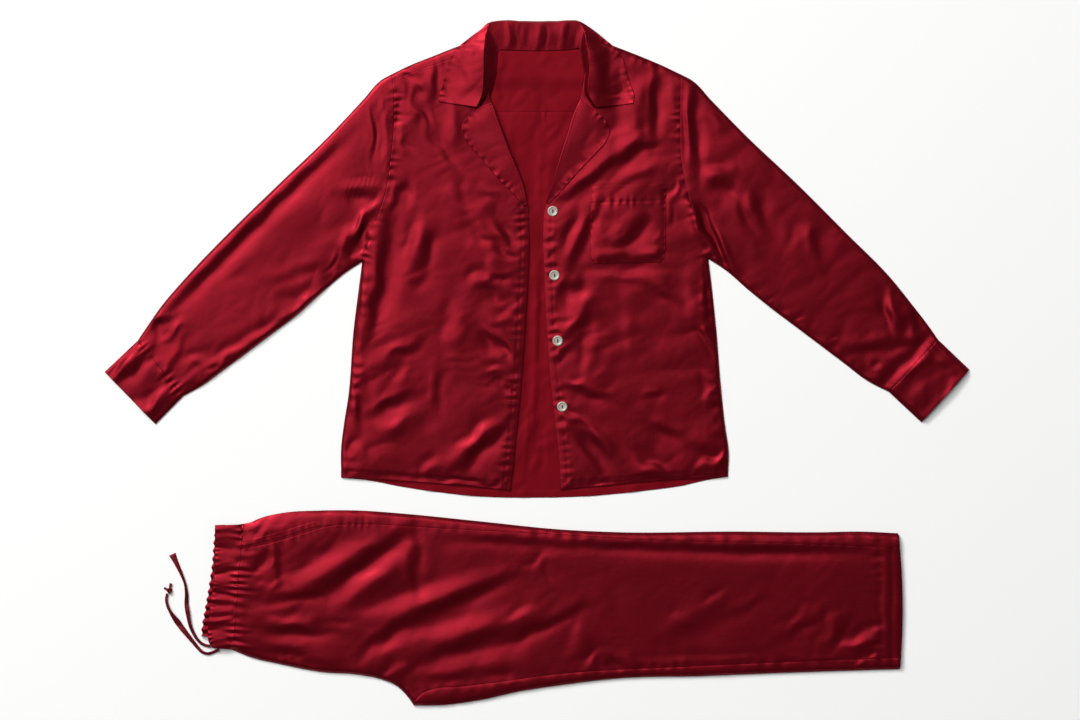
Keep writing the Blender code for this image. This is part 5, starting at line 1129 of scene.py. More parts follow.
# %% Collar tables
COLLAR_LINES = [              # cm: foot of the stand, roll, edge of the fall
    (-7.7, 36.6, -8.55, 36.45, -13.9, 37.25), (-6.75, 37.8, -7.9, 37.9, -13.8, 38.5),
    (-6.15, 39.4, -7.62, 39.4, -13.3, 40.4), (-5.75, 41.4, -7.55, 41.4, -12.75, 42.4),
    (-5.6, 43.0, -7.55, 43.4, -12.15, 44.0), (-5.55, 44.1, -7.5, 45.2, -11.1, 45.15),
    (-5.35, 44.55, -7.35, 46.8, -9.6, 46.4), (-4.95, 44.65, -7.1, 47.9, -8.0, 47.6),
    (-4.3, 44.62, -6.4, 48.55, -6.7, 48.6), (-3.2, 44.6, -4.2, 48.75, -4.25, 48.86),
    (-1.6, 44.55, -2.0, 48.6, -2.05, 48.71), (0.0, 44.5, 0.2, 48.5, 0.2, 48.61),
    (1.8, 44.55, 2.4, 48.6, 2.45, 48.71), (3.6, 44.6, 4.4, 48.75, 4.5, 48.86),
    (5.0, 44.7, 5.9, 48.62, 6.1, 48.7), (5.7, 44.85, 6.6, 47.9, 7.9, 47.6),
    (6.1, 44.7, 6.9, 46.6, 9.7, 46.15), (6.3, 43.9, 7.15, 44.9, 11.2, 44.85),
    (6.5, 42.7, 7.3, 43.2, 12.2, 43.45), (6.65, 41.2, 7.4, 41.4, 12.8, 41.4),
    (6.45, 39.6, 7.2, 39.6, 13.3, 39.8), (6.6, 38.2, 7.35, 38.2, 13.8, 38.2),
    (7.6, 36.7, 8.4, 36.4, 13.7, 37.0),
]
BAND_RIDGES = [               # behind the neck: x in cm, half width in cm, height in mm
    (-4.05, 0.55, 1.9), (0.2, 0.95, 1.7), (3.75, 0.95, 2.1), (-2.6, 0.3, 0.5), (1.3, 0.25, -0.6),
]
LAPEL = {
    "right": {
        "roll": [(-6.5, 37.1), (-5.5, 34.0), (-3.75, 29.5), (-2.05, 25.4), (-1.4, 22.6)],
        "edge": [(-8.7, 36.3), (-10.65, 33.6), (-10.2, 31.9), (-8.15, 29.4), (-5.6, 26.4),
                 (-3.2, 23.9), (-1.75, 22.3)],
    },
    "left": {
        "roll": [(6.25, 37.5), (5.4, 35.4), (4.5, 32.5), (3.5, 29.5), (2.4, 26.0), (1.3, 22.9)],
        "edge": [(8.4, 35.9), (9.9, 34.3), (10.4, 33.0), (9.9, 31.7), (8.0, 29.5), (5.7, 27.1),
                 (3.7, 24.8), (1.6, 22.6)],
    },
}
COLLAR_ROLL = 5.2             # mm, how far the leaf stands up at the roll line
BACK_ROLL = 5.4               # mm, height of the roll behind the neck
LAPEL_ROLL = 3.4              # mm, how far the lapel stands up at its roll line
LAPEL_TUCK = (2.2, 1.1, 0.3)  # mm, its first three lines dip under the front's edge
LAPEL_BODY = 1.5              # mm, the lapel lifts the leaf that lies over it
print("collar sections:", len(COLLAR_LINES))

# %% Lapels
LAPEL_ROWS, LAPEL_COLUMNS = 110, 34


def lapel(side):
    """A lapel: rows along the roll; height = front + body + roll (1 - s)^1.5, start low."""
    stations = np.linspace(0, 1, LAPEL_ROWS)
    roll, edge = (along(LAPEL[side][line], stations) for line in ("roll", "edge"))
    shares = np.concatenate([[-0.03, -0.05, -0.03], packed(LAPEL_COLUMNS, 0.4)])
    width = np.linalg.norm(edge - roll, axis=1)[:, None]
    points = ruled(roll, edge, shares)
    inner = np.clip(shares, 0, 1)[None, :]
    middle = np.sin(np.pi * np.clip(stations, 0.02, 0.98))[:, None] ** 0.5
    stand = LAPEL_ROLL * (1 - inner) ** 1.5 * middle
    stand[:, :3] -= np.array(LAPEL_TUCK)
    hem = [(chain_of(LAPEL[side]["edge"]), 1.25, 0.6, 0.7, 0.0)]
    creases = 0.4 * crumple(points, 4.6, 31, 60.0) * inner * (width > 1)
    lift = 1.6 + stand + puckers(points, hem) + creases
    points, drop = turn_under(points, -lift, ("last_column", 0.5, 1.4))
    return cloth(f"lapel_{side}_cloth", points, shirt_height(points) - drop, SATIN,
                 f"lapel_facing_{side}", warp=70.0)


tell("lapels:", *map(lapel, SIDES))

# %% Collar
COLLAR_ROWS = 300
STAND_COLUMNS, LEAF_COLUMNS = 19, 34
LEAF_ROWS = 110               # rows at either end whose edge lies on a front


def band_ridges(points):
    """Gathers of the stand behind the neck, in mm: ridges exp(-|a|^1.7), a little slanted."""
    total = 0.22 * drift(points * [1.0, 0.35], 1.5, 35)
    for x, half_width, height in BAND_RIDGES:
        across = points[..., 0] - x + 0.16 * np.sin(1.4 * (points[..., 1] - 44.5) + x)
        total += height * np.exp(-np.abs(across / half_width) ** 1.7)
    return total


COLLAR_PULLS = [              # as the shirt's drag lines
    (8.6, 45.6, 9.8, 38.2, 1.4, -0.24), (12.4, 42.0, 13.2, 38.4, 0.8, 0.12),
    (9.8, 37.9, 13.2, 37.9, 0.5, 0.12), (-11.6, 43.6, -10.0, 38.4, 1.6, 0.12),
    (-13.8, 41.4, -12.8, 38.6, 0.6, -0.1),
]


def collar():
    """One grid of sections: foot (s = -1), roll (s = 0), edge of the fall (s = 1).

    The stand rises from foot to roll by 0.6 u + 0.2 (1 - cos pi u), u = 1 + s, and carries the
    gathers. The leaf's height is what it lies on + body + rise (1 - s)^1.7. Where the edge comes
    close to the roll, behind the neck, there is no leaf.
    """
    table = np.array(COLLAR_LINES)
    stations = np.linspace(0, 1, COLLAR_ROWS)
    foot, roll, edge = np.split(spans(np.linspace(0, 1, len(table)), table, stations), 3, axis=1)
    inner, outer = packed(STAND_COLUMNS + 1, 0.3)[:-1], packed(LEAF_COLUMNS, 0.5)
    on_stand, on_leaf = ruled(foot, roll, inner), ruled(roll, edge, outer)
    points = np.concatenate([on_stand, on_leaf], 1)
    wide = np.linalg.norm(edge - roll, axis=1)[:, None]
    leaf = smooth_step((wide - 0.6) / 2.6)
    beyond = smooth_step((points[..., 1] - 44.4) / 1.4)
    on_front = shirt_height(points) * (1 - beyond) + 3.4 * beyond
    crossing = np.exp(-((np.abs(points[..., 0]) - 7.9) ** 2 + (points[..., 1] - 36.9) ** 2) / 1.6)
    notch = np.exp(-np.minimum(stations, 1 - stations) / 0.03)[:, None]
    over = on_front + 1.4 + LAPEL_BODY * crossing + 0.9 * notch
    s = outer[None, :]
    fall = over[:, STAND_COLUMNS:] + COLLAR_ROLL * leaf * (1 - s) ** 1.7
    fall = fall + 0.5 * crumple(on_leaf, 5.5, 33, 80.0) * s * leaf
    fall = fall + pulls(on_leaf, COLLAR_PULLS) * leaf
    hems = [(chain, 1.15, 0.5, 0.7, 0.0) for chain in (edge[:LEAF_ROWS], edge[-LEAF_ROWS:])]
    fall = fall + puckers(on_leaf, hems) * leaf
    crest = np.clip(fall[:, :1], 8.5, 11.0) * leaf + BACK_ROLL * (1 - leaf)
    fall = fall * leaf + (BACK_ROLL - 1.6 * s) * (1 - leaf)
    low = inside_back(on_stand) + collar_lift(on_stand) + 0.05
    wave = np.clip(band_ridges(on_stand), -0.6, 2.4)
    belly = np.sin(np.pi * (0.03 + 0.94 * inner))[None, :]
    rise = 0.6 * inner[None, :] + 0.4 * (1 - np.cos(np.pi * inner))[None, :] / 2
    stand = low * (1 - rise) + crest * rise + wave * belly * (1 - leaf)
    drop = shirt_height(points) - np.concatenate([stand, fall], 1)
    points, drop = turn_under(points, drop, ("last_column", 0.5, 1.3), ("first_row", 0.5, 1.7),
                              ("last_row", 0.5, 1.7))
    height = np.maximum(shirt_height(points) - drop, SATIN_BODY + 0.1)
    return cloth("collar_cloth", points, height, SATIN, "collar", warp=80.0)


tell("collar:", collar())

# %% Hidden fall of the collar
FALL_CREST = [(-7.3, 48.0), (-5.2, 48.6), (0.0, 48.8), (5.0, 48.6), (7.1, 48.0)]
FALL_EDGE = [(-9.0, 42.6), (-4.5, 42.0), (0.0, 41.8), (4.5, 42.0), (9.0, 42.6)]


def collar_fall():
    """The part of the collar behind the neck, on the table under the yoke: a ruled strip."""
    shares = np.linspace(0, 1, 60)
    points = ruled(along(FALL_EDGE, shares), along(FALL_CREST, shares), np.linspace(0, 1, 20))
    rise = 0.5 + 0.35 * np.clip(drift(points, 2.2, 41), 0, 1.5)
    return cloth("collar_fall_cloth", points, rise, SATIN, "collar_fall", warp=0.0)


tell("hidden fall:", collar_fall())

# %% [markdown]
# ## Chest pocket
# A patch pocket is cut from the same satin, pressed over at its sides and sewn
# on, open at the top, where a wider band is stitched across. It lies on the
# front, so it takes the front's own heights and adds its body to them.

# %% Chest pocket
POCKET_CORNERS = [(7.5, 14.1), (18.35, 14.3), (18.45, 25.5), (7.85, 25.1)]
POCKET_WIDE, POCKET_DEEP = 10.8, 11.0   # cm
POCKET_BAND = 2.3             # cm, from the opening down to the band's stitches
POCKET_BODY = 0.6             # mm, two layers drawn as one
POCKET_BELLY = 1.9            # mm, cloth bags out just above the bottom seam
POCKET_FOLDS = [              # as the shirt's folds: cm, cm, cm, cm, cm, mm, cm
    (15.6, 22.0, 10.8, 16.6, 1.0, 1.5, 0.1), (16.8, 20.6, 12.0, 16.0, 0.8, -1.3, 0.2),
    (8.6, 20.6, 9.4, 16.4, 0.7, 0.7, 0.2), (17.9, 19.0, 16.6, 16.6, 0.6, 0.8, 0.0),
]


def chest_pocket():
    """Bilinear patch between four corners, the lower two rounded; sides sink to their stitches."""
    across, up = packed(64, 0.5), packed(70, 0.5)
    a, b, c, d = (np.array(corner) for corner in POCKET_CORNERS)
    low, high = (p * (1 - across[:, None]) + q * across[:, None] for p, q in ((a, b), (d, c)))
    points = ruled(low, high, up).transpose(1, 0, 2)
    round_off = 0.8 * np.exp(-up[:, None] / 0.05)
    pull = np.exp(-across / 0.04) - np.exp(-(1 - across) / 0.04)
    points[..., 0] += round_off * pull[None, :]
    side = np.minimum(across, 1 - across)[None, :] * POCKET_WIDE
    foot = up[:, None] * POCKET_DEEP
    sewn = np.minimum(side, foot + 0.15)
    puff = 1.2 * (1 - np.exp(-np.clip(sewn - 0.2, 0, None) / 0.8)) * (0.7 + 0.3 * up[:, None])
    belly = np.exp(-((foot - 1.3) / 0.75) ** 2) * smooth_step(side / 1.4)
    puff = puff + POCKET_BELLY * belly * (0.8 + 0.25 * drift(points, 4.0, 52))
    puff = puff + relief(points, POCKET_FOLDS) * (1 - np.exp(-sewn / 0.6))
    opening = high[0, 1] + (high[-1, 1] - high[0, 1]) * across[None, :]
    band = points[..., 1] - (opening - POCKET_BAND)
    rows = [(np.array([a, b, c]), 1.2, 0.4, 0.5, 0.0), (np.array([a, d]), 1.2, 0.4, 0.5, 0.0),
            (np.array([d, c]) - [0, POCKET_BAND], 1.35, 0.75, 0.8, 0.0)]
    lift = 0.9 + puff + puckers(points, rows) - 0.35 * np.exp(-(band / 0.12) ** 2)
    points, drop = turn_under(points, -lift, ("last_row", 0.6, 0.8))
    return cloth("chest_pocket_cloth", points, shirt_height(points) - drop, SATIN,
                 "chest_pocket", body=POCKET_BODY)


tell("pocket:", chest_pocket())

# %% [markdown]
# ## Trousers, folded leg on leg
# The trousers lie on their right leg. On top is the left leg's front panel,
# between the inseam and the side seam. The back panel comes round both folds,
# so strips of it show beyond the seams. Lines are read along the length, as a
# cutter reads widths off a leg from waist to hem.

# %% Trouser outline
LEG_TOP = [(-42.0, -23.15), (-41.0, -22.95), (-39.6, -22.35), (-36.75, -21.65), (-31.0, -21.25),
           (-25.3, -21.25), (-19.6, -21.65), (-8.1, -22.8), (3.3, -23.95), (11.9, -24.35),
           (28.0, -24.25), (40.5, -24.35), (46.2, -24.25), (51.6, -24.5)]
LEG_SIDE_SEAM = [(-42.05, -26.7), (-36.9, -25.5), (-33.7, -24.5), (-29.3, -23.3), (-24.5, -23.1),
                 (-13.0, -23.7), (1.4, -24.4), (16.7, -25.35), (35.9, -25.85), (51.7, -26.5)]
LEG_INSEAM = [(-17.6, -48.45), (-16.6, -47.3), (-15.0, -46.6), (-11.0, -46.2), (-6.8, -45.7),
              (3.3, -44.4), (20.6, -43.4), (35.9, -42.7), (51.8, -42.1)]
CROTCH_SEAM = [(-43.45, -40.75), (-41.0, -41.75), (-36.75, -42.8), (-31.0, -43.85),
               (-25.3, -44.35), (-22.45, -44.9), (-20.1, -45.9), (-18.6, -47.4), (-17.6, -48.45)]
LEG_BOTTOM = [(-17.6, -48.9), (-13.9, -48.85), (-8.1, -48.1), (-2.4, -46.85), (3.3, -46.0),
              (11.9, -45.0), (23.3, -44.7), (34.75, -44.25), (51.9, -43.7)]
BODY_BOTTOM = [(-43.5, -41.0), (-41.0, -41.98), (-36.75, -43.0), (-31.0, -44.1), (-25.3, -44.55),
               (-22.45, -45.12), (-19.8, -46.3), (-18.4, -47.75), (-17.6, -48.9)]
print("side seam:", round(path_length(chain_of(LEG_SIDE_SEAM)), 1), "cm")

# %% Trouser folds
CROTCH_X = -17.6              # cm, as the other places along the leg
HEM_BOW = 0.45                # cm, the trouser hem bows out in the middle
HEM_LOW, HEM_HIGH = -43.7, -24.5   # cm, its lower and its upper corner
WAIST_X, HEM_X = (-43.45, -42.05), (51.8, 51.6)   # cm, at the lower and the upper edge
SIDE_X = -42.3                # cm, where the side seam meets the waistband
LEG_FOLDS = [                 # as the shirt's folds
    # gathers that run out of the waistband
    (-42.0, -32.4, -34.5, -31.0, 0.8, 2.0, 0.2), (-42.0, -34.2, -30.5, -33.6, 0.9, -2.6, 0.4),
    (-42.0, -38.3, -25.0, -37.6, 1.1, -2.8, -0.4), (-41.5, -36.4, -31.0, -36.6, 1.1, 2.2, 0.2),
    (-41.8, -28.6, -37.6, -26.4, 0.9, 1.8, 0.2), (-41.0, -30.8, -36.4, -27.4, 1.0, -2.4, 0.5),
    (-42.0, -25.4, -36.4, -22.0, 0.6, 2.0, 0.3), (-40.5, -41.0, -30.0, -42.6, 0.9, -1.8, 0.2),
    # slanting folds over the thigh
    (-22.0, -24.6, -36.0, -32.2, 1.7, 4.0, 0.8), (-16.5, -23.4, -35.0, -34.2, 1.6, -3.6, 0.8),
    (-18.5, -27.0, -28.0, -34.0, 1.5, 3.0, 0.5), (-18.0, -26.0, -17.4, -34.0, 1.1, -2.6, 0.2),
    (-4.0, -29.0, -24.0, -37.2, 1.6, 3.8, 0.5), (-2.0, -30.2, -23.0, -39.6, 1.5, -3.8, 0.6),
    (2.0, -34.6, -14.0, -39.6, 1.6, 2.6, 0.4), (5.0, -36.6, -18.6, -43.0, 1.6, -3.4, 0.7),
    (-20.4, -41.0, -17.0, -46.8, 1.0, 2.4, -0.3), (-17.4, -42.6, -19.4, -46.4, 0.8, -1.8, 0.0),
    (-15.0, -44.0, 0.0, -42.5, 1.4, 1.6, 0.2), (2.0, -24.5, -3.0, -34.0, 1.4, -1.2, 0.2),
    # lower leg
    (7.0, -26.6, 48.0, -26.8, 1.2, -2.2, -0.3), (4.8, -36.6, 6.8, -42.0, 1.3, 1.8, 0.3),
    (11.0, -41.6, 14.6, -43.6, 0.9, 2.0, 0.2), (10.2, -42.0, 12.4, -44.0, 0.8, -1.8, 0.0),
    (21.0, -42.6, 17.0, -39.0, 1.2, -1.4, 0.2), (27.5, -33.0, 17.0, -38.0, 1.8, 1.8, 0.3),
    (29.5, -35.0, 19.0, -40.0, 1.6, -1.6, 0.3), (40.5, -33.0, 33.5, -39.0, 1.5, 1.8, 0.4),
    (40.5, -36.0, 33.0, -40.4, 1.4, -1.8, 0.4), (43.2, -35.4, 41.4, -40.4, 0.9, 2.0, -0.2),
    (43.8, -36.2, 43.2, -41.0, 0.9, -1.8, -0.2), (49.6, -38.0, 44.0, -41.2, 0.9, 2.0, 0.3),
    (48.6, -41.6, 45.6, -42.6, 0.8, -1.8, 0.0),
]
LEG_EDGE = np.concatenate([chain_of(BODY_BOTTOM), chain_of(LEG_BOTTOM),
                           np.array([(52.2, -43.4), (52.6, -36.0), (52.4, -29.4), (52.2, -24.7)]),
                           chain_of(LEG_TOP)[::-1]])
WAIST_SEAM = [(-42.05, -23.15), (-42.75, -32.05), (-43.45, -40.95)]
SLANT_EDGE = [(-41.8, -25.6), (-37.5, -24.6), (-33.5, -23.4), (-29.6, -22.7)]   # of the pocket
LEG_SEAMS = [                 # as the shirt's seams
    (chain_of(LEG_INSEAM, 40), 2.2, 0.35, 0.9, 0.05),
    (chain_of(CROTCH_SEAM), 1.6, 0.4, 0.9, 0.0),
    (chain_of(LEG_SIDE_SEAM, 40)[9:], 2.4, 0.3, 0.9, 0.0),
    (chain_of(LEG_SIDE_SEAM, 40)[:10], 1.2, 0.5, 0.8, 0.0),
    (np.array([(48.4, -42.6), (48.6, -36.0), (48.4, -25.0)]), 1.5, 0.5, 0.8, 0.12),
    (np.array(WAIST_SEAM), 1.25, 1.5, 1.9, 0.1),
    (chain_of(SLANT_EDGE), 0.9, 0.4, 0.5, 0.0),
    (chain_of(LEG_TOP, 40) - [0, 0.9], 3.1, 0.35, 1.2, 0.0),
    (chain_of(LEG_BOTTOM, 30) + [0, 1.0], 2.6, 0.4, 1.1, 0.0),
]
print("trouser folds:", len(LEG_FOLDS))

# %% Trouser drag lines
LEG_PULLS = [                 # x0, y0, x1, y1, half width cm, slope
    (-41.6, -25.3, -36.0, -22.5, 0.6, 0.28), (-41.4, -24.0, -39.4, -22.9, 0.6, -0.24),
    (-37.2, -25.2, -36.4, -31.4, 0.9, -0.2), (-40.2, -30.6, -38.0, -27.2, 0.7, 0.16),
    (-39.8, -32.6, -36.3, -31.1, 0.6, 0.2), (-39.8, -34.0, -30.5, -32.9, 0.7, -0.2),
    (-35.4, -31.9, -26.4, -26.1, 1.4, 0.2), (-31.2, -32.9, -18.9, -24.2, 1.1, -0.22),
    (-28.2, -34.0, -20.0, -27.2, 1.2, 0.16), (-17.7, -23.8, -17.3, -33.4, 1.0, -0.2),
    (-37.5, -36.9, -32.3, -36.4, 0.8, 0.24), (-38.4, -38.2, -27.6, -38.5, 0.8, -0.18),
    (-30.8, -36.9, -24.0, -36.5, 0.7, -0.1), (-27.0, -36.8, -8.4, -30.3, 1.3, 0.17),
    (-23.8, -40.4, -18.4, -36.5, 0.9, -0.22), (-19.0, -36.9, -4.6, -30.9, 0.9, -0.22),
    (-24.8, -42.8, -20.2, -39.6, 1.1, 0.14), (-19.8, -40.0, -5.6, -35.6, 1.2, 0.16),
    (-17.8, -42.8, -3.6, -37.9, 1.1, -0.22), (-22.4, -44.8, -17.8, -42.5, 0.7, 0.2),
    (-38.2, -40.6, -29.8, -43.0, 0.9, -0.12), (-8.4, -45.7, -2.6, -45.0, 0.9, 0.15),
    (-16.2, -45.1, -8.8, -44.5, 0.8, -0.12), (-12.0, -24.9, 2.0, -25.5, 0.8, -0.16),
    (0.0, -25.7, 24.0, -26.4, 0.8, -0.2), (21.0, -26.5, 47.6, -26.6, 0.9, -0.22),
    (-1.8, -30.0, 1.2, -28.0, 0.8, 0.12), (1.6, -29.4, 2.6, -31.4, 0.7, -0.08),
    (-4.4, -37.2, -0.8, -35.2, 1.0, 0.15), (-4.8, -39.8, 3.4, -36.1, 0.9, -0.2),
    (2.8, -36.6, 7.8, -33.9, 0.9, -0.1), (4.8, -40.8, 6.5, -37.2, 0.9, 0.1),
    (6.2, -43.5, 9.2, -41.7, 0.8, 0.17), (9.6, -41.9, 12.2, -43.7, 0.6, -0.15),
    (18.6, -37.3, 21.4, -35.4, 0.8, 0.08), (23.2, -35.2, 26.8, -32.8, 0.7, 0.12),
    (26.8, -36.2, 32.4, -33.8, 0.9, -0.08), (35.2, -37.7, 40.2, -34.4, 0.8, 0.14),
    (36.6, -38.8, 40.8, -36.2, 0.6, -0.1), (40.4, -40.0, 42.5, -36.2, 0.6, 0.17),
    (42.4, -40.2, 44.7, -36.2, 0.7, -0.12), (43.8, -40.6, 48.2, -38.2, 0.8, 0.25),
    (45.4, -43.2, 47.6, -40.9, 0.6, 0.22), (35.6, -42.7, 46.2, -42.3, 0.5, -0.1),
    (12.6, -42.5, 34.0, -41.7, 0.6, 0.08), (49.2, -24.6, 49.4, -43.4, 0.4, 0.14),
    (50.2, -24.6, 50.4, -43.4, 0.4, -0.1), (51.0, -24.6, 51.1, -43.4, 0.4, 0.12),
]
print("trouser drag lines:", len(LEG_PULLS))

# %% Height of the trousers
LEG_RIM, LEG_LEVEL = 3.0, 5.9  # mm, upper cloth at the fold and just inside it
LEG_TURN = 0.6                # cm, how far in from the edge the cloth turns down
LEG_LOFT, WAIST_LOFT = 2.2, 1.4   # mm, over the leg and more at the gathered waist
LEG_FOLD_GAIN = 0.55          # the drag lines carry the rest of each fold
LEG_MOUNDS, LEG_CREASES = 0.4, 0.13   # mm
LEG_FLOOR = 3.6               # mm, the upper cloth never dips below it
GATHER_X, GATHER_REACH = -42.0, 7.0   # cm, where the gathers start and how they fade
CALM_X, CALM_REACH = 2.0, 14.0   # cm, past the knee the cloth crumples less


def leg_height(points):
    """Upper cloth of the trousers, in mm: edge turn + loft + folds + crumple + puckers."""
    edge = near(LEG_EDGE, points)[0]
    waist = np.exp(-np.clip(points[..., 0] - GATHER_X, 0, None) / GATHER_REACH)
    level = LEG_LEVEL + (LEG_LOFT + WAIST_LOFT * waist) * (1 - np.exp(-edge / LOFT_REACH))
    folds = relief(points, LEG_FOLDS, LEG_FOLD_GAIN) + pulls(points, LEG_PULLS)
    calm = 1 - 0.55 * smooth_step((points[..., 0] - CALM_X) / CALM_REACH)
    crumpled = LEG_MOUNDS * crumple(points, 8.0, 61, 48.0, 1.7)
    folds += calm * (crumpled + LEG_CREASES * crumple(points, 3.4, 62, 35.0))
    folds += puckers(points, LEG_SEAMS)
    height = floored(level + folds, LEG_FLOOR, 0.6)
    return LEG_RIM + (height - LEG_RIM) * quarter_round(edge, LEG_TURN)


print("upper cloth over the knee:", leg_height(np.array([[0.0, -34.0]])).round(1), "mm")

# %% [markdown]
# ## The leg's panels
# The front panel is one ruled grid. The back panel is one wide grid too: from
# the inseam out to the lower fold, round it, under the leg and up round the
# upper fold to the side seam. The right leg below is a flat tube.

# %% Lines along the leg
LEG_ROWS = 320                # stations from waist to hem
BODY_ROWS = 89                # of them between the waist and the crotch


def leg_lines():
    """Lower fold, front's seam, side seam and upper fold at each station, four arrays in cm."""
    low_x = np.concatenate([np.linspace(WAIST_X[0], CROTCH_X, BODY_ROWS, endpoint=False),
                            np.linspace(CROTCH_X, HEM_X[0], LEG_ROWS - BODY_ROWS)])
    high_x, side_x = (np.interp(low_x, [WAIST_X[0], CROTCH_X, HEM_X[0]], [end, CROTCH_X, HEM_X[1]])
                      for end in (WAIST_X[1], SIDE_X))
    torso, leg = np.minimum(low_x, CROTCH_X), np.maximum(low_x, CROTCH_X)
    upper = low_x < CROTCH_X
    bottom = np.where(upper, read_at(BODY_BOTTOM, torso), read_at(LEG_BOTTOM, leg))
    front = np.where(upper, read_at(CROTCH_SEAM, torso), read_at(LEG_INSEAM, leg))
    side, top = read_at(LEG_SIDE_SEAM, side_x), read_at(LEG_TOP, high_x)
    return [np.stack(pair, 1) for pair in ((low_x, bottom), (low_x, front),
                                           (side_x, side), (high_x, top))]


def bowed(points):
    """Hem pushed out by HEM_BOW sin(pi s) near its end, s across from corner to corner."""
    across = np.clip((points[..., 1] - HEM_LOW) / (HEM_HIGH - HEM_LOW), 0, 1)
    close = np.exp(-(HEM_X[0] - points[..., 0]) / 8.0)
    points = points.copy()
    points[..., 0] += HEM_BOW * np.sin(np.pi * across) * close
    return points


print("stations along the leg:", len(leg_lines()[0]))

# %% Leg panels
STRIP = 8                     # columns of a strip that shows beyond a seam
BACK_SWING = 0.07             # cm, how far the back panel swings out round a fold
OPENING_END, BACKING_END = -29.3, -28.9   # cm, foot of the slant pocket and of its facing


def leg_front():
    """Front panel of the left leg: rows from the inseam to the side seam."""
    _, front, side, _ = leg_lines()
    points = bowed(ruled(front, side, packed(76, 0.45)))
    points, drop = turn_under(points, 0.0, ("last_row", 1.6, 0.8), ("first_column", 0.4, 0.5))
    return cloth("leg_front_left_cloth", points, leg_height(points) - drop, SATIN,
                 "trouser_front_left", warp=0.0)


def leg_back():
    """Back panel of the left leg, round both folds: strips on top, one wide layer below.

    Round a fold it swings out by sin t and sinks by 0.55 (1 - cos t) / 2.
    """
    bottom, front, side, top = leg_lines()
    body = (bottom[:, 0] < CROTCH_X)[:, None]
    pocket = smooth_step((OPENING_END - side[:, 0]) / 1.6)[:, None]
    strip = np.linspace(0, 1, STRIP)
    low = ruled(front, bottom, strip)
    low_drop = np.where(body, 1.1, 0.95 * np.exp(-strip / 0.2)[None, :])
    high = ruled(top, side - [0, 0.1], strip)
    high_drop = np.maximum(0.8 * pocket, 0.4 * np.exp((strip - 1) / 0.2)[None, :])
    turn = np.radians([40, 90, 140, 180])
    swing = [np.sin(t) for t in turn]
    round_low = np.stack([bottom - [0, BACK_SWING * s] for s in swing], 1)
    round_high = np.stack([top + [0, BACK_SWING * s] for s in swing], 1)[:, ::-1]
    under = ruled(bottom, top, np.linspace(0.02, 0.98, 16))
    points = np.concatenate([low, round_low, under, round_high, high], 1)
    upper = leg_height(points)
    rim = leg_height(bottom)[:, None], leg_height(top)[:, None]
    fall = np.array([(1 - np.cos(t)) / 2 for t in turn])[None, :] * 0.55
    flat = 2.45 + 0.25 * drift(under, 9.0, 66)
    height = np.concatenate([
        upper[:, :STRIP] - low_drop, rim[0] - fall - low_drop[:, -1:], flat,
        (rim[1] - fall)[:, ::-1] - high_drop[:, :1], upper[:, -STRIP:] - high_drop], 1)
    return cloth("leg_back_left_cloth", bowed(points), height, SATIN, "trouser_folded_layers",
                 warp=0.0)


def leg_below():
    """The right leg, under the left one: a ring over the top and back along the table."""
    bottom, _, _, top = leg_lines()
    wander = 0.12 + 0.1 * np.sin(bottom[:, 0] * 0.31) + 0.06 * np.sin(bottom[:, 0] * 0.83 + 1)
    low = bottom + np.stack([0 * wander, wander], 1)
    high = top - np.stack([0 * wander, 0.26 - wander], 1)
    upper, lower = (bowed(ruled(low, high, shares))
                    for shares in (packed(24, 0.5), np.linspace(0.996, 0.004, 20)))
    crest = 1.0 + 1.05 * quarter_round(near(LEG_EDGE, upper)[0], 0.35)
    upper[..., 0] += 0.12
    lower[..., 0] += 0.12
    return cloth("leg_right_cloth", np.concatenate([upper, lower], 1),
                 np.concatenate([crest, resting(lower)], 1), SATIN,
                 "trouser_folded_layers", warp=0.0, ring=True)


def pocket_backing():
    """Facing of the slant pocket: a strip under the opening's edge that narrows to the seam."""
    _, _, side, top = leg_lines()
    keep = side[:, 0] < BACKING_END
    taper = smooth_step((BACKING_END - side[keep, :1]) / 3.2)
    upward = unit((top - side)[keep])
    across = np.linspace(0, 1, 18)
    points = ruled(side[keep] - 0.9 * taper * upward, side[keep] + 1.25 * taper * upward, across)
    tucked = np.clip((0.62 - across) / 0.15, 0, 1)[None, :]
    drop = (0.25 + 1.17 * tucked) * np.ones((keep.sum(), 1))
    return cloth("side_pocket_cloth", points, leg_height(points) - drop, SATIN,
                 "side_pocket_left", warp=0.0)


tell("leg:", leg_front(), leg_back(), leg_below(), pocket_backing())

# %% [markdown]
# ## Waistband
# Elastic draws the waistband in, so its cloth stands in uneven folds that run
# across it, and the layers below it show past its edge as a small ruffle.

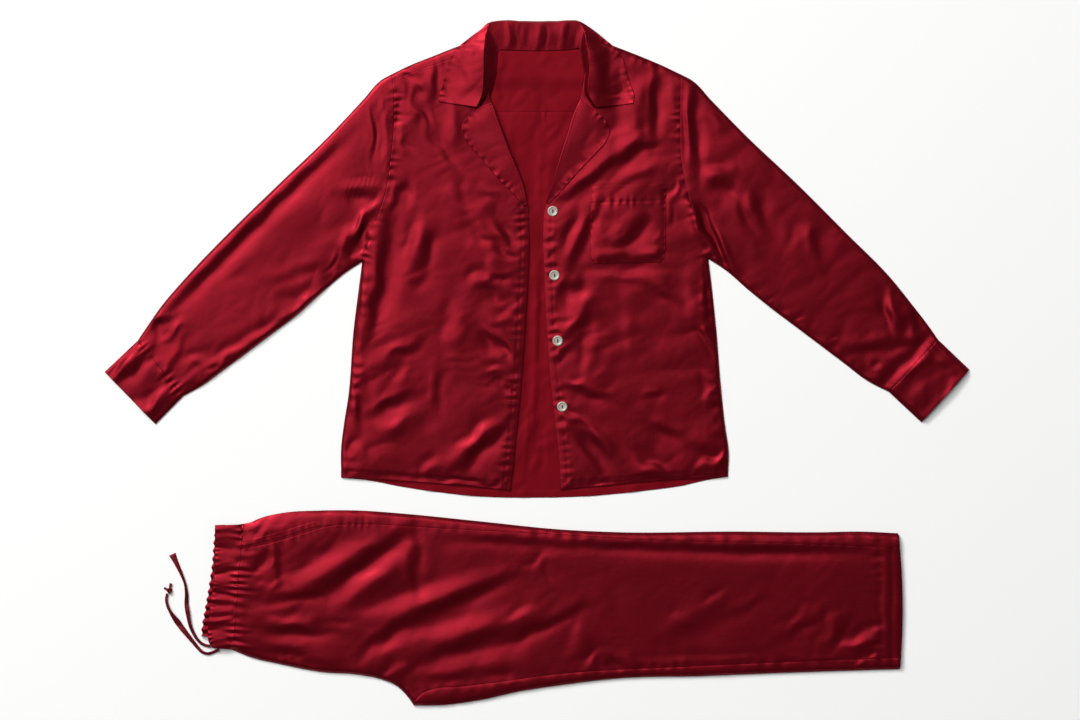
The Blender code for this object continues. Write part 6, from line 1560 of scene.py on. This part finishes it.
# %% Height of the waistband
WAIST_EDGE = [(-45.9, -23.3), (-46.05, -29.8), (-46.35, -32.8), (-46.7, -35.7), (-46.95, -38.0),
              (-46.9, -39.6), (-46.35, -40.7)]
RUFFLE_OUT = [0.3, 1.15]      # cm past the waist edge, at the back and at the front
RUFFLE_END = 0.9              # share of the waist edge where the ruffle stops
RUFFLE_WAVES = 14
BAND_LEVEL = 8.6              # mm, upper cloth of the band between its folds
BAND_RIM, RUFFLE_RIM = 4.0, 2.4   # mm, at their very edges
BAND_START, BAND_WIDE = -42.4, 3.6   # cm, where the band starts and its width
BAND_LOW, BAND_HIGH = -41.1, -22.9   # cm, its ends
BAND_FOLDS = [                # y in cm, half width in cm, height in mm
    (-23.7, 0.35, 1.2), (-24.9, 0.5, 0.5), (-26.5, 0.6, -1.5), (-28.3, 0.75, 1.6),
    (-30.0, 0.45, -1.8), (-31.5, 0.65, 1.7), (-33.0, 0.4, -1.4), (-33.7, 0.3, 0.8),
    (-34.4, 0.35, -1.2), (-35.3, 0.45, 1.6), (-36.1, 0.25, -0.7), (-36.8, 0.4, 1.3),
    (-38.1, 0.7, -1.7), (-39.5, 0.4, 1.0),
]


def band_height(points):
    """Upper cloth of the waistband in mm: level + folds exp(-|a|^1.7), stronger off the edge."""
    share = np.clip((BAND_START - points[..., 0]) / BAND_WIDE, 0, 1)
    total = np.full(points.shape[:-1], BAND_LEVEL)
    for y, half_width, height in BAND_FOLDS:
        across = points[..., 1] - y - 0.18 * np.sin(2.6 * share + y) + 0.12 * share
        uneven = height * (0.75 + 0.35 * np.sin(2.2 * share + 1.7 * y))
        total += uneven * np.exp(-np.abs(across / half_width) ** 1.7)
    seam, edge = chain_of(WAIST_SEAM), chain_of(WAIST_EDGE)
    total += puckers(points, [(seam, 1.25, 0.8, 0.9, 0.0), (edge + [0.25, 0], 0.75, 0.5, 0.5, 0.0)])
    ends = np.minimum(points[..., 1] - BAND_LOW, BAND_HIGH - points[..., 1])
    rounded = quarter_round(near(edge, points)[0], 0.3, 0.2)
    height = BAND_RIM + (total - BAND_RIM) * quarter_round(ends, 0.7) * (0.55 + 0.45 * rounded)
    joined = np.exp(-near(seam, points)[0] / 1.2)
    return height * (1 - joined) + (leg_height(points + [0.15, 0]) + 0.3) * joined


print("band at its middle:", band_height(np.array([[-44.5, -32.0]])).round(1), "mm")

# %% Waistband pieces
def waistband():
    """The band's upper cloth: ruled from the leg seam to the waist edge, then turned under."""
    around = packed(190, 0.2)
    seam, edge = along(WAIST_SEAM, around), along(WAIST_EDGE, around)
    points = ruled(seam + [0.1, 0], edge, packed(40, 0.3))
    points, drop = turn_under(points, 0.0, ("last_column", 1.4, 1.6), ("first_column", 0.5, 0.55),
                              ("first_row", 0.8, 2.2), ("last_row", 0.8, 2.2))
    return cloth("waistband_cloth", points, band_height(points) - drop, SATIN, "waistband",
                 warp=0.0)


def waist_ruffle():
    """The band's lower layers: a ring whose rim waves in and out past the waist edge."""
    around = np.linspace(0, 1, 260)
    seam, edge = along(WAIST_SEAM, around), along(WAIST_EDGE, around)
    reach = np.interp(around, [0, 0.12, 1], [0.0, RUFFLE_OUT[0], RUFFLE_OUT[1]])
    wave = np.sin(2 * np.pi * RUFFLE_WAVES * around / RUFFLE_END + 0.6 * np.sin(9 * around))
    past = np.where(around < RUFFLE_END, reach + 0.11 * wave - 0.08, 0.0)
    rim = edge - np.stack([past, np.zeros_like(around)], 1)
    upper = ruled(seam, rim, packed(26, 0.5))
    lower = ruled(seam, rim, np.linspace(0.985, 0.015, 22))
    out = np.clip((edge[:, :1] - upper[..., 0] + 0.35) / 1.2, 0, 1)
    high = 4.6 + 1.3 * out + 0.9 * wave[:, None] * smooth_step(out * 3)
    high = RUFFLE_RIM + (high - RUFFLE_RIM) * quarter_round(upper[..., 0] - rim[:, :1], 0.16)
    low = resting(lower) + 0.5 * np.clip(wave, 0, 1)[:, None] * (lower[..., 0] < edge[:, :1])
    return cloth("waist_ruffle_cloth", np.concatenate([upper, lower], 1),
                 np.concatenate([high, low], 1), SATIN, "waistband_folded_layers",
                 warp=0.0, ring=True)


tell("waistband:", waistband(), waist_ruffle())

# %% [markdown]
# ## Drawstring
# The drawstring is a narrow satin tape, folded and pressed. Its two tails leave
# the front end of the waistband, lie side by side on the table, and part. Where
# a tail curls on itself it looks narrow, and where it lies open it looks wide.
# One ends in a small knot, the other is cut straight across.

# %% Tapes
TAPE_A = [(-46.69, -40.5, 3.4), (-47.3, -40.45, 2.9), (-47.95, -40.15, 2.8), (-48.6, -39.5, 2.8),
          (-49.1, -38.7, 2.8), (-49.5, -37.8, 2.8), (-49.85, -36.3, 2.8), (-50.1, -34.6, 2.8),
          (-50.1, -33.0, 2.8), (-50.3, -31.7, 2.8), (-50.8, -30.3, 2.8), (-51.5, -28.8, 2.8),
          (-52.15, -27.4, 2.8)]
TAPE_B = [(-45.5, -41.04, 3.4), (-46.3, -41.4, 2.9), (-47.05, -41.6, 2.8), (-47.8, -41.4, 2.8),
          (-48.45, -40.8, 2.8), (-49.15, -39.95, 2.8), (-50.0, -38.9, 2.8), (-50.8, -37.9, 2.8),
          (-51.6, -36.8, 2.8), (-52.3, -35.8, 2.8), (-52.8, -34.8, 2.8), (-53.0, -33.8, 2.8),
          (-52.87, -33.02, 2.8)]
TAPE_WIDTH = 6.5e-3           # metres, laid open
TAPE_ROWS = 70                # sections along a tail
# share along the tail, width in cm, tilt in degrees
TAPE_A_FORM = [(0.0, 0.42, 10), (0.14, 0.42, -28), (0.3, 0.5, 24), (0.44, 0.66, 20),
               (0.6, 0.5, -30), (0.7, 0.3, -38), (0.8, 0.46, -22), (0.92, 0.66, -8),
               (1.0, 0.98, -4)]
TAPE_B_FORM = [(0.0, 0.4, -10), (0.16, 0.44, 30), (0.34, 0.5, -18), (0.52, 0.72, -14),
               (0.66, 0.86, 12), (0.8, 0.46, 34), (0.92, 0.34, 22), (1.0, 0.32, 10)]


def cross_ways(tangent):
    """Unit vectors across a path, level with the table, and those upright to path and them."""
    tangent = unit(tangent)
    across = unit(np.cross(tangent, [0, 0, 1.0]))
    return across, np.cross(across, tangent)


def swept(name, route, wide, thick, tilt, material=TAPE, sides=14, square=3.2):
    """A closed strip: superellipse sections |x/a|^n + |y/b|^n = 1 along a path, tilted about it."""
    across, upward = cross_ways(np.gradient(route, axis=0))
    turn = np.linspace(0, 2 * np.pi, sides, endpoint=False)
    x, y = (np.sign(way) * np.abs(way) ** (2 / square) for way in (np.cos(turn), np.sin(turn)))
    a, b = x[None, :] * wide[:, None] / 2, y[None, :] * thick[:, None] / 2
    lean = np.radians(tilt)[:, None]
    side, rise = a * np.cos(lean) - b * np.sin(lean), a * np.sin(lean) + b * np.cos(lean)
    ring = route[:, None] + side[..., None] * across[:, None] + rise[..., None] * upward[:, None]
    ends = [route[i, None, None] * 0.999 + ring[i, None] * 0.001 for i in (0, -1)]
    ring = np.concatenate([ends[0], ring, ends[1]])
    vertices = ring.reshape(-1, 3)
    faces = facing_out(vertices, cell_corners(len(ring), sides, True))
    gone = np.arange(len(ring))[:, None] * 2.5e-3 + 0 * turn[None, :]
    wrap = np.broadcast_to(turn[None, :] * TAPE_WIDTH / 6, gone.shape)
    piece = mesh_from(name, vertices, faces, np.stack([gone, wrap], -1).reshape(-1, 2))
    return finished(piece, material, "crimson_tape")


def tape(name, table, form, node):
    """One tail, tilted: its middle is as high above the table as its section reaches down."""
    shares = np.linspace(0, 1, TAPE_ROWS)
    route = along(table, shares)
    form = np.array(form)
    wide, tilt = (np.interp(shares, form[:, 0], form[:, i]) for i in (1, 2))
    wide = wide * CM
    thick = 1.0 * MM + 5.5 * MM * MM / wide
    reach = (wide * np.abs(np.sin(np.radians(tilt))) + thick * np.cos(np.radians(tilt))) / 2
    start = np.exp(-shares / 0.05)
    height = np.maximum(reach + 0.1 * MM, route[:, 2] * MM * start)
    path = np.column_stack([route[:, :2] * CM, height])
    piece = swept(name, path, wide, thick, tilt)
    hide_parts(node)
    return piece, path


tail_a, path_a = tape("drawstring_open_end", TAPE_A, TAPE_A_FORM, "drawstring_a")
tail_b, path_b = tape("drawstring_knotted", TAPE_B, TAPE_B_FORM, "drawstring_b")
print("tails:", round(path_length(path_a), 4), "and", round(path_length(path_b), 4), "m")

# %% Knot
KNOT_PLACE = (-52.55, -32.6)  # cm
KNOT_SCALE, KNOT_LIFT = 1.05, 2.7   # mm, a unit of the trefoil and its middle's height
KNOT_STRAND = 2.6             # mm, width of the tape where it is knotted
STUB_START = 0.24             # cm, width of an end where it leaves the knot


def knot():
    """An overhand knot: a trefoil (sin t + 2 sin 2t, cos t - 2 cos 2t, -1.2 sin 3t)."""
    t = np.linspace(0, 2 * np.pi, 90)
    route = np.stack([np.sin(t) + 2 * np.sin(2 * t), np.cos(t) - 2 * np.cos(2 * t),
                      -1.2 * np.sin(3 * t)], 1) * KNOT_SCALE * MM
    route += np.array([KNOT_PLACE[0] * CM, KNOT_PLACE[1] * CM, KNOT_LIFT * MM])
    flat = np.full(len(t), KNOT_STRAND * MM)
    return swept("drawstring_knot_loop", route, flat, flat * 0.75, 20 * np.sin(t), sides=10)


def stub(name, end, wide):
    """A short end that sticks out of the knot and flares."""
    share = np.linspace(0, 1, 16)[:, None]
    start = np.array([*KNOT_PLACE, 0.26])
    route = (start * (1 - share) + np.array([*end, 0.16]) * share) * CM
    width = (STUB_START + (wide - STUB_START) * share[:, 0]) * CM
    return swept(name, route, width, np.full(16, 1.5 * MM), np.linspace(10, 25, 16), sides=10)


knot_piece = knot()
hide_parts("drawstring_knot")
stubs = [stub("knot_stub_up", (-52.35, -31.55), 0.42), stub("knot_stub_out", (-53.3, -32.2), 0.34)]
print("knot and its ends:", len(knot_piece.data.polygons), "faces")

# %% [markdown]
# ## Buttons
# Shirt buttons are turned from shell, or pressed to look like it: a rounded rim,
# a shallow dish and two holes. The thread fills the holes and hides them, so
# they aren't cut. Three strands pass over the dish from one hole to the other.

# %% Button sizes
BUTTON_PLACES = [(2.25, 21.6), (2.5, 12.45), (2.95, 3.1), (3.6, -6.3)]
BUTTON_RADIUS, BUTTON_THICK = 7.4, 2.4   # mm
BUTTON_PROFILE = [            # shares of the radius and of the thickness
    (0.0, 0.0), (0.8, 0.0), (0.93, 0.1), (1.0, 0.32), (0.985, 0.56), (0.94, 0.8), (0.87, 0.95),
    (0.8, 1.0), (0.73, 0.9), (0.66, 0.73), (0.56, 0.62), (0.3, 0.56), (0.0, 0.55),
]
THREAD_REACH = 2.5            # mm, from the middle of a button to the far side of a hole
STRAND_SHIFTS = (-0.42, 0.0, 0.42)   # mm, three strands side by side
STRAND_WIDE = 0.55            # mm
REST_RING = 0.62              # cm, radius of the ring of cloth that a button rests on
print("button:", 2 * BUTTON_RADIUS, "mm across")

# %% Shell and thread
# Polished shell: layered nacre, so its gloss is clear and its colour drifts in soft bands
SHELL, shell_tree, shell_shader = new_finish("polished_shell", {
    "Roughness": 0.22, "Coat Weight": 0.5, "Coat Roughness": 0.08})
shell_place = add_node(shell_tree, "ShaderNodeTexCoord")
bands = add_node(shell_tree, "ShaderNodeTexNoise",
                 {"Scale": 260.0, "Detail": 3.0, "Distortion": 1.2},
                 {"Vector": shell_place.outputs["Object"]})
shell_colour = add_node(shell_tree, "ShaderNodeMix",
                        {"A": linear("#7d756a"), "B": linear("#c9c2b6")},
                        {"Factor": bands.outputs["Fac"]}, data_type="RGBA")
shell_tree.links.new(shell_colour.outputs["Result"], shell_shader.inputs["Base Color"])


def thread_finish(name, shade, light):
    """Twisted polyester: matt, with a fine noise that mixes its two colours along the twist."""
    finish, tree, shader = new_finish(name, {"Roughness": 0.65, "Specular IOR Level": 0.1})
    place = add_node(tree, "ShaderNodeTexCoord")
    twist = add_node(tree, "ShaderNodeTexNoise", {"Scale": 900.0},
                     {"Vector": place.outputs["Object"]})
    colour = add_node(tree, "ShaderNodeMix", {"A": linear(shade), "B": linear(light)},
                      {"Factor": twist.outputs["Fac"]}, data_type="RGBA")
    tree.links.new(colour.outputs["Result"], shader.inputs["Base Color"])
    return finish


# Thread of the cloth's own crimson: its rows read as fine dark dashes beside a seam
THREAD = thread_finish("sewing_thread", "#3e0610", "#650d1a")
# Button thread, almost black: dark thread with painted shade for the shadow in the button's dish,
# one dark bar across the pale shell
SHADED_BUTTON_THREAD = thread_finish("button_thread_painted_shade", "#140a0a", "#2a1214")

print("shell and thread:", SHELL.name, THREAD.name, SHADED_BUTTON_THREAD.name)

# %% Buttons
BUTTON_SIDES = 56


def shell_button(number, place, base):
    """A turned solid: the profile (r, z) swept round the upright axis at `place`."""
    outline = along(BUTTON_PROFILE, np.linspace(0, 1, 34))
    r, z = np.clip(outline[:, 0], 0.004, 1.0), outline[:, 1]
    turn = np.linspace(0, 2 * np.pi, BUTTON_SIDES, endpoint=False)
    ring = np.stack([np.outer(r, np.cos(turn)) * BUTTON_RADIUS * MM + place[0] * CM,
                     np.outer(r, np.sin(turn)) * BUTTON_RADIUS * MM + place[1] * CM,
                     np.outer(z, np.ones(BUTTON_SIDES)) * BUTTON_THICK * MM + base * MM], -1)
    vertices = ring.reshape(-1, 3)
    faces = facing_out(vertices, cell_corners(len(outline), BUTTON_SIDES, True))
    piece = mesh_from(f"shell_button_{number}", vertices, faces)
    return finished(piece, SHELL, "pearl_shell", f"button_{number}")


def strand(name, place, base, shift):
    """One strand over the dish, in mm: y = THREAD_REACH t, z = base + 0.9 + 1.15 (1 - t^4)."""
    t = np.linspace(-1.0, 1.0, 26)
    route = np.stack([np.full(26, place[0] * CM + shift * MM),
                      place[1] * CM + THREAD_REACH * MM * t,
                      (base + 0.9 + 1.15 * (1 - t ** 4)) * MM], 1)
    wide = np.full(26, STRAND_WIDE * MM)
    swept(name, route, wide, wide, np.zeros(26), SHADED_BUTTON_THREAD, 8, 2.0)


for number, place in enumerate(BUTTON_PLACES, 1):
    round_it = np.radians(np.arange(0, 360, 30))
    ring = np.array(place) + REST_RING * np.stack([np.cos(round_it), np.sin(round_it)], 1)
    base = float(np.percentile(shirt_height(ring), 75)) + 0.1
    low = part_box(f"button_{number}")[0][2] / MM
    print("button", number, "on cloth", round(base, 2), "mm, solid at", round(low, 2), "mm")
    shell_button(number, place, base)
    for count, shift in enumerate(STRAND_SHIFTS, 1):
        strand(f"button_{number}_thread_{count}", place, base, shift)

# %% [markdown]
# ## Stitches and buttonholes
# Machine stitches come every 3 mm here. Each shows 2.2 mm of thread, 0.42 mm
# thick, in the cloth's own colour. It is a small closed bead with ten faces at
# the cloth's own height, so a whole row is one array of places along a seam. A
# buttonhole is a slit edged with the same thread.

# %% Stitches
STITCH_PITCH, STITCH_LONG = 0.30, 0.22   # cm
STITCH_THICK = 0.42                      # mm
BEAD_FACES = 10


def stitch_row(name, rows, height_of):
    """Beads along chains: 3 square sections each, widest in the middle, on the cloth's height."""
    spots, ways = [], []
    for chain in rows:
        length = np.linalg.norm(np.diff(chain, axis=0), axis=1)
        gone = np.concatenate([[0.0], np.cumsum(length)])
        at = np.arange(STITCH_PITCH, gone[-1] - STITCH_PITCH / 2, STITCH_PITCH)
        spot, ahead = (np.stack([np.interp(at + step, gone, chain[:, i]) for i in (0, 1)], 1)
                       for step in (0.0, 0.05))
        spots.append(spot)
        ways.append(unit(ahead - spot))
    spots, ways = np.concatenate(spots), np.concatenate(ways)
    along_it = np.array([-0.5, 0.0, 0.5]) * STITCH_LONG
    size = np.array([0.35, 1.0, 0.35]) * STITCH_THICK / 2
    middle = spots[:, None] + along_it[None, :, None] * ways[:, None]
    level = height_of(middle) + 0.10
    corner = np.array([(1, 1), (-1, 1), (-1, -1), (1, -1)])
    sideways = np.stack([-ways[:, 1], ways[:, 0]], 1)[:, None, None]
    aside = corner[None, None, :, :1] * size[None, :, None, None] * 0.1   # cm from mm
    lift = level[:, :, None] + corner[None, None, :, 1] * size[None, :, None]
    vertices = in_space(middle[:, :, None] + sideways * aside, lift).reshape(-1, 3)
    one = np.concatenate([cell_corners(3, 4, True), [[3, 2, 1, 0]], [[8, 9, 10, 11]]])
    one = facing_out(vertices[:12], one)
    faces = (one[None] + 12 * np.arange(len(spots))[:, None, None]).reshape(-1, 4)
    finished(mesh_from(name, vertices, faces), THREAD, "crimson_satin")
    print(name, len(faces) // BEAD_FACES, "stitches")


def beside(chain, gap):
    """A chain moved sideways by `gap` cm, to the left of the way it runs."""
    way = unit(np.gradient(chain, axis=0))
    return chain + gap * np.stack([-way[:, 1], way[:, 0]], 1)


shirt_rows = []
for side in SIDES:
    sign = OUTWARD[side]
    shirt_rows += [facing_row(side, -17.4, 22.5),
                   hem_line(side) + [[-sign * 0.5, 1.0], [sign * 0.9, 1.05]],
                   beside(chain_of(ARMHOLE[side], 40), sign * 0.22),
                   beside(chain_of(forward_seam(side), 30), sign * 0.2),
                   beside(cuff_seam(side), sign * 0.2)]
stitch_row("shirt_stitches", shirt_rows, shirt_height)
SLANT_STITCHES = [(-41.6, -26.6), (-36.9, -25.5), (-33.7, -24.5), (-29.6, -23.4)]
leg_rows = [beside(chain_of(LEG_SIDE_SEAM, 60)[16:], -0.22),
            np.array([(48.35, -42.2), (48.55, -36.0), (48.35, -25.4)]),
            beside(chain_of(SLANT_STITCHES, 20), -0.5)]
stitch_row("leg_stitches", leg_rows, leg_height)

# %% Buttonholes
HOLE_LONG, HOLE_WIDE = 1.45, 0.12        # cm
WORKED_WIDE, WORKED_HIGH = 0.4, 0.3      # mm, half the width and height of the thread's edge


def buttonhole(number, place, lean):
    """A worked slit: a thread tube along a stadium, straight sides and half-round ends."""
    t = np.linspace(0, 2 * np.pi, 72, endpoint=False)
    x = np.clip(1.25 * np.cos(t), -1, 1) * (HOLE_LONG - HOLE_WIDE) / 2 + np.cos(t) * HOLE_WIDE / 2
    y = np.sin(t) * HOLE_WIDE / 2
    turn = np.radians(lean)
    line = np.stack([x * np.cos(turn) - y * np.sin(turn), x * np.sin(turn) + y * np.cos(turn)], 1)
    line = line + np.array(place)
    middle = in_space(line, shirt_height(line) + 0.15)
    across, upward = cross_ways(np.roll(middle, -1, 0) - np.roll(middle, 1, 0))
    ring = np.linspace(0, 2 * np.pi, 8, endpoint=False)
    tube = middle[:, None] + (np.cos(ring)[None, :, None] * across[:, None] * WORKED_WIDE
                              + np.sin(ring)[None, :, None] * upward[:, None] * WORKED_HIGH) * MM
    vertices = tube.reshape(-1, 3)
    faces = facing_out(vertices, cell_corners(73, 8, True) % len(vertices))
    finished(mesh_from(f"buttonhole_{number}", vertices, faces), THREAD, "crimson_satin")


BUTTONHOLES = [((-2.75, 21.9), 4), ((-2.65, 13.1), -6), ((-3.2, 3.3), 5), ((-3.8, -5.6), -4)]
for number, (place, lean) in enumerate(BUTTONHOLES, 1):
    buttonhole(number, place, lean)
print("buttonholes:", len(BUTTONHOLES))
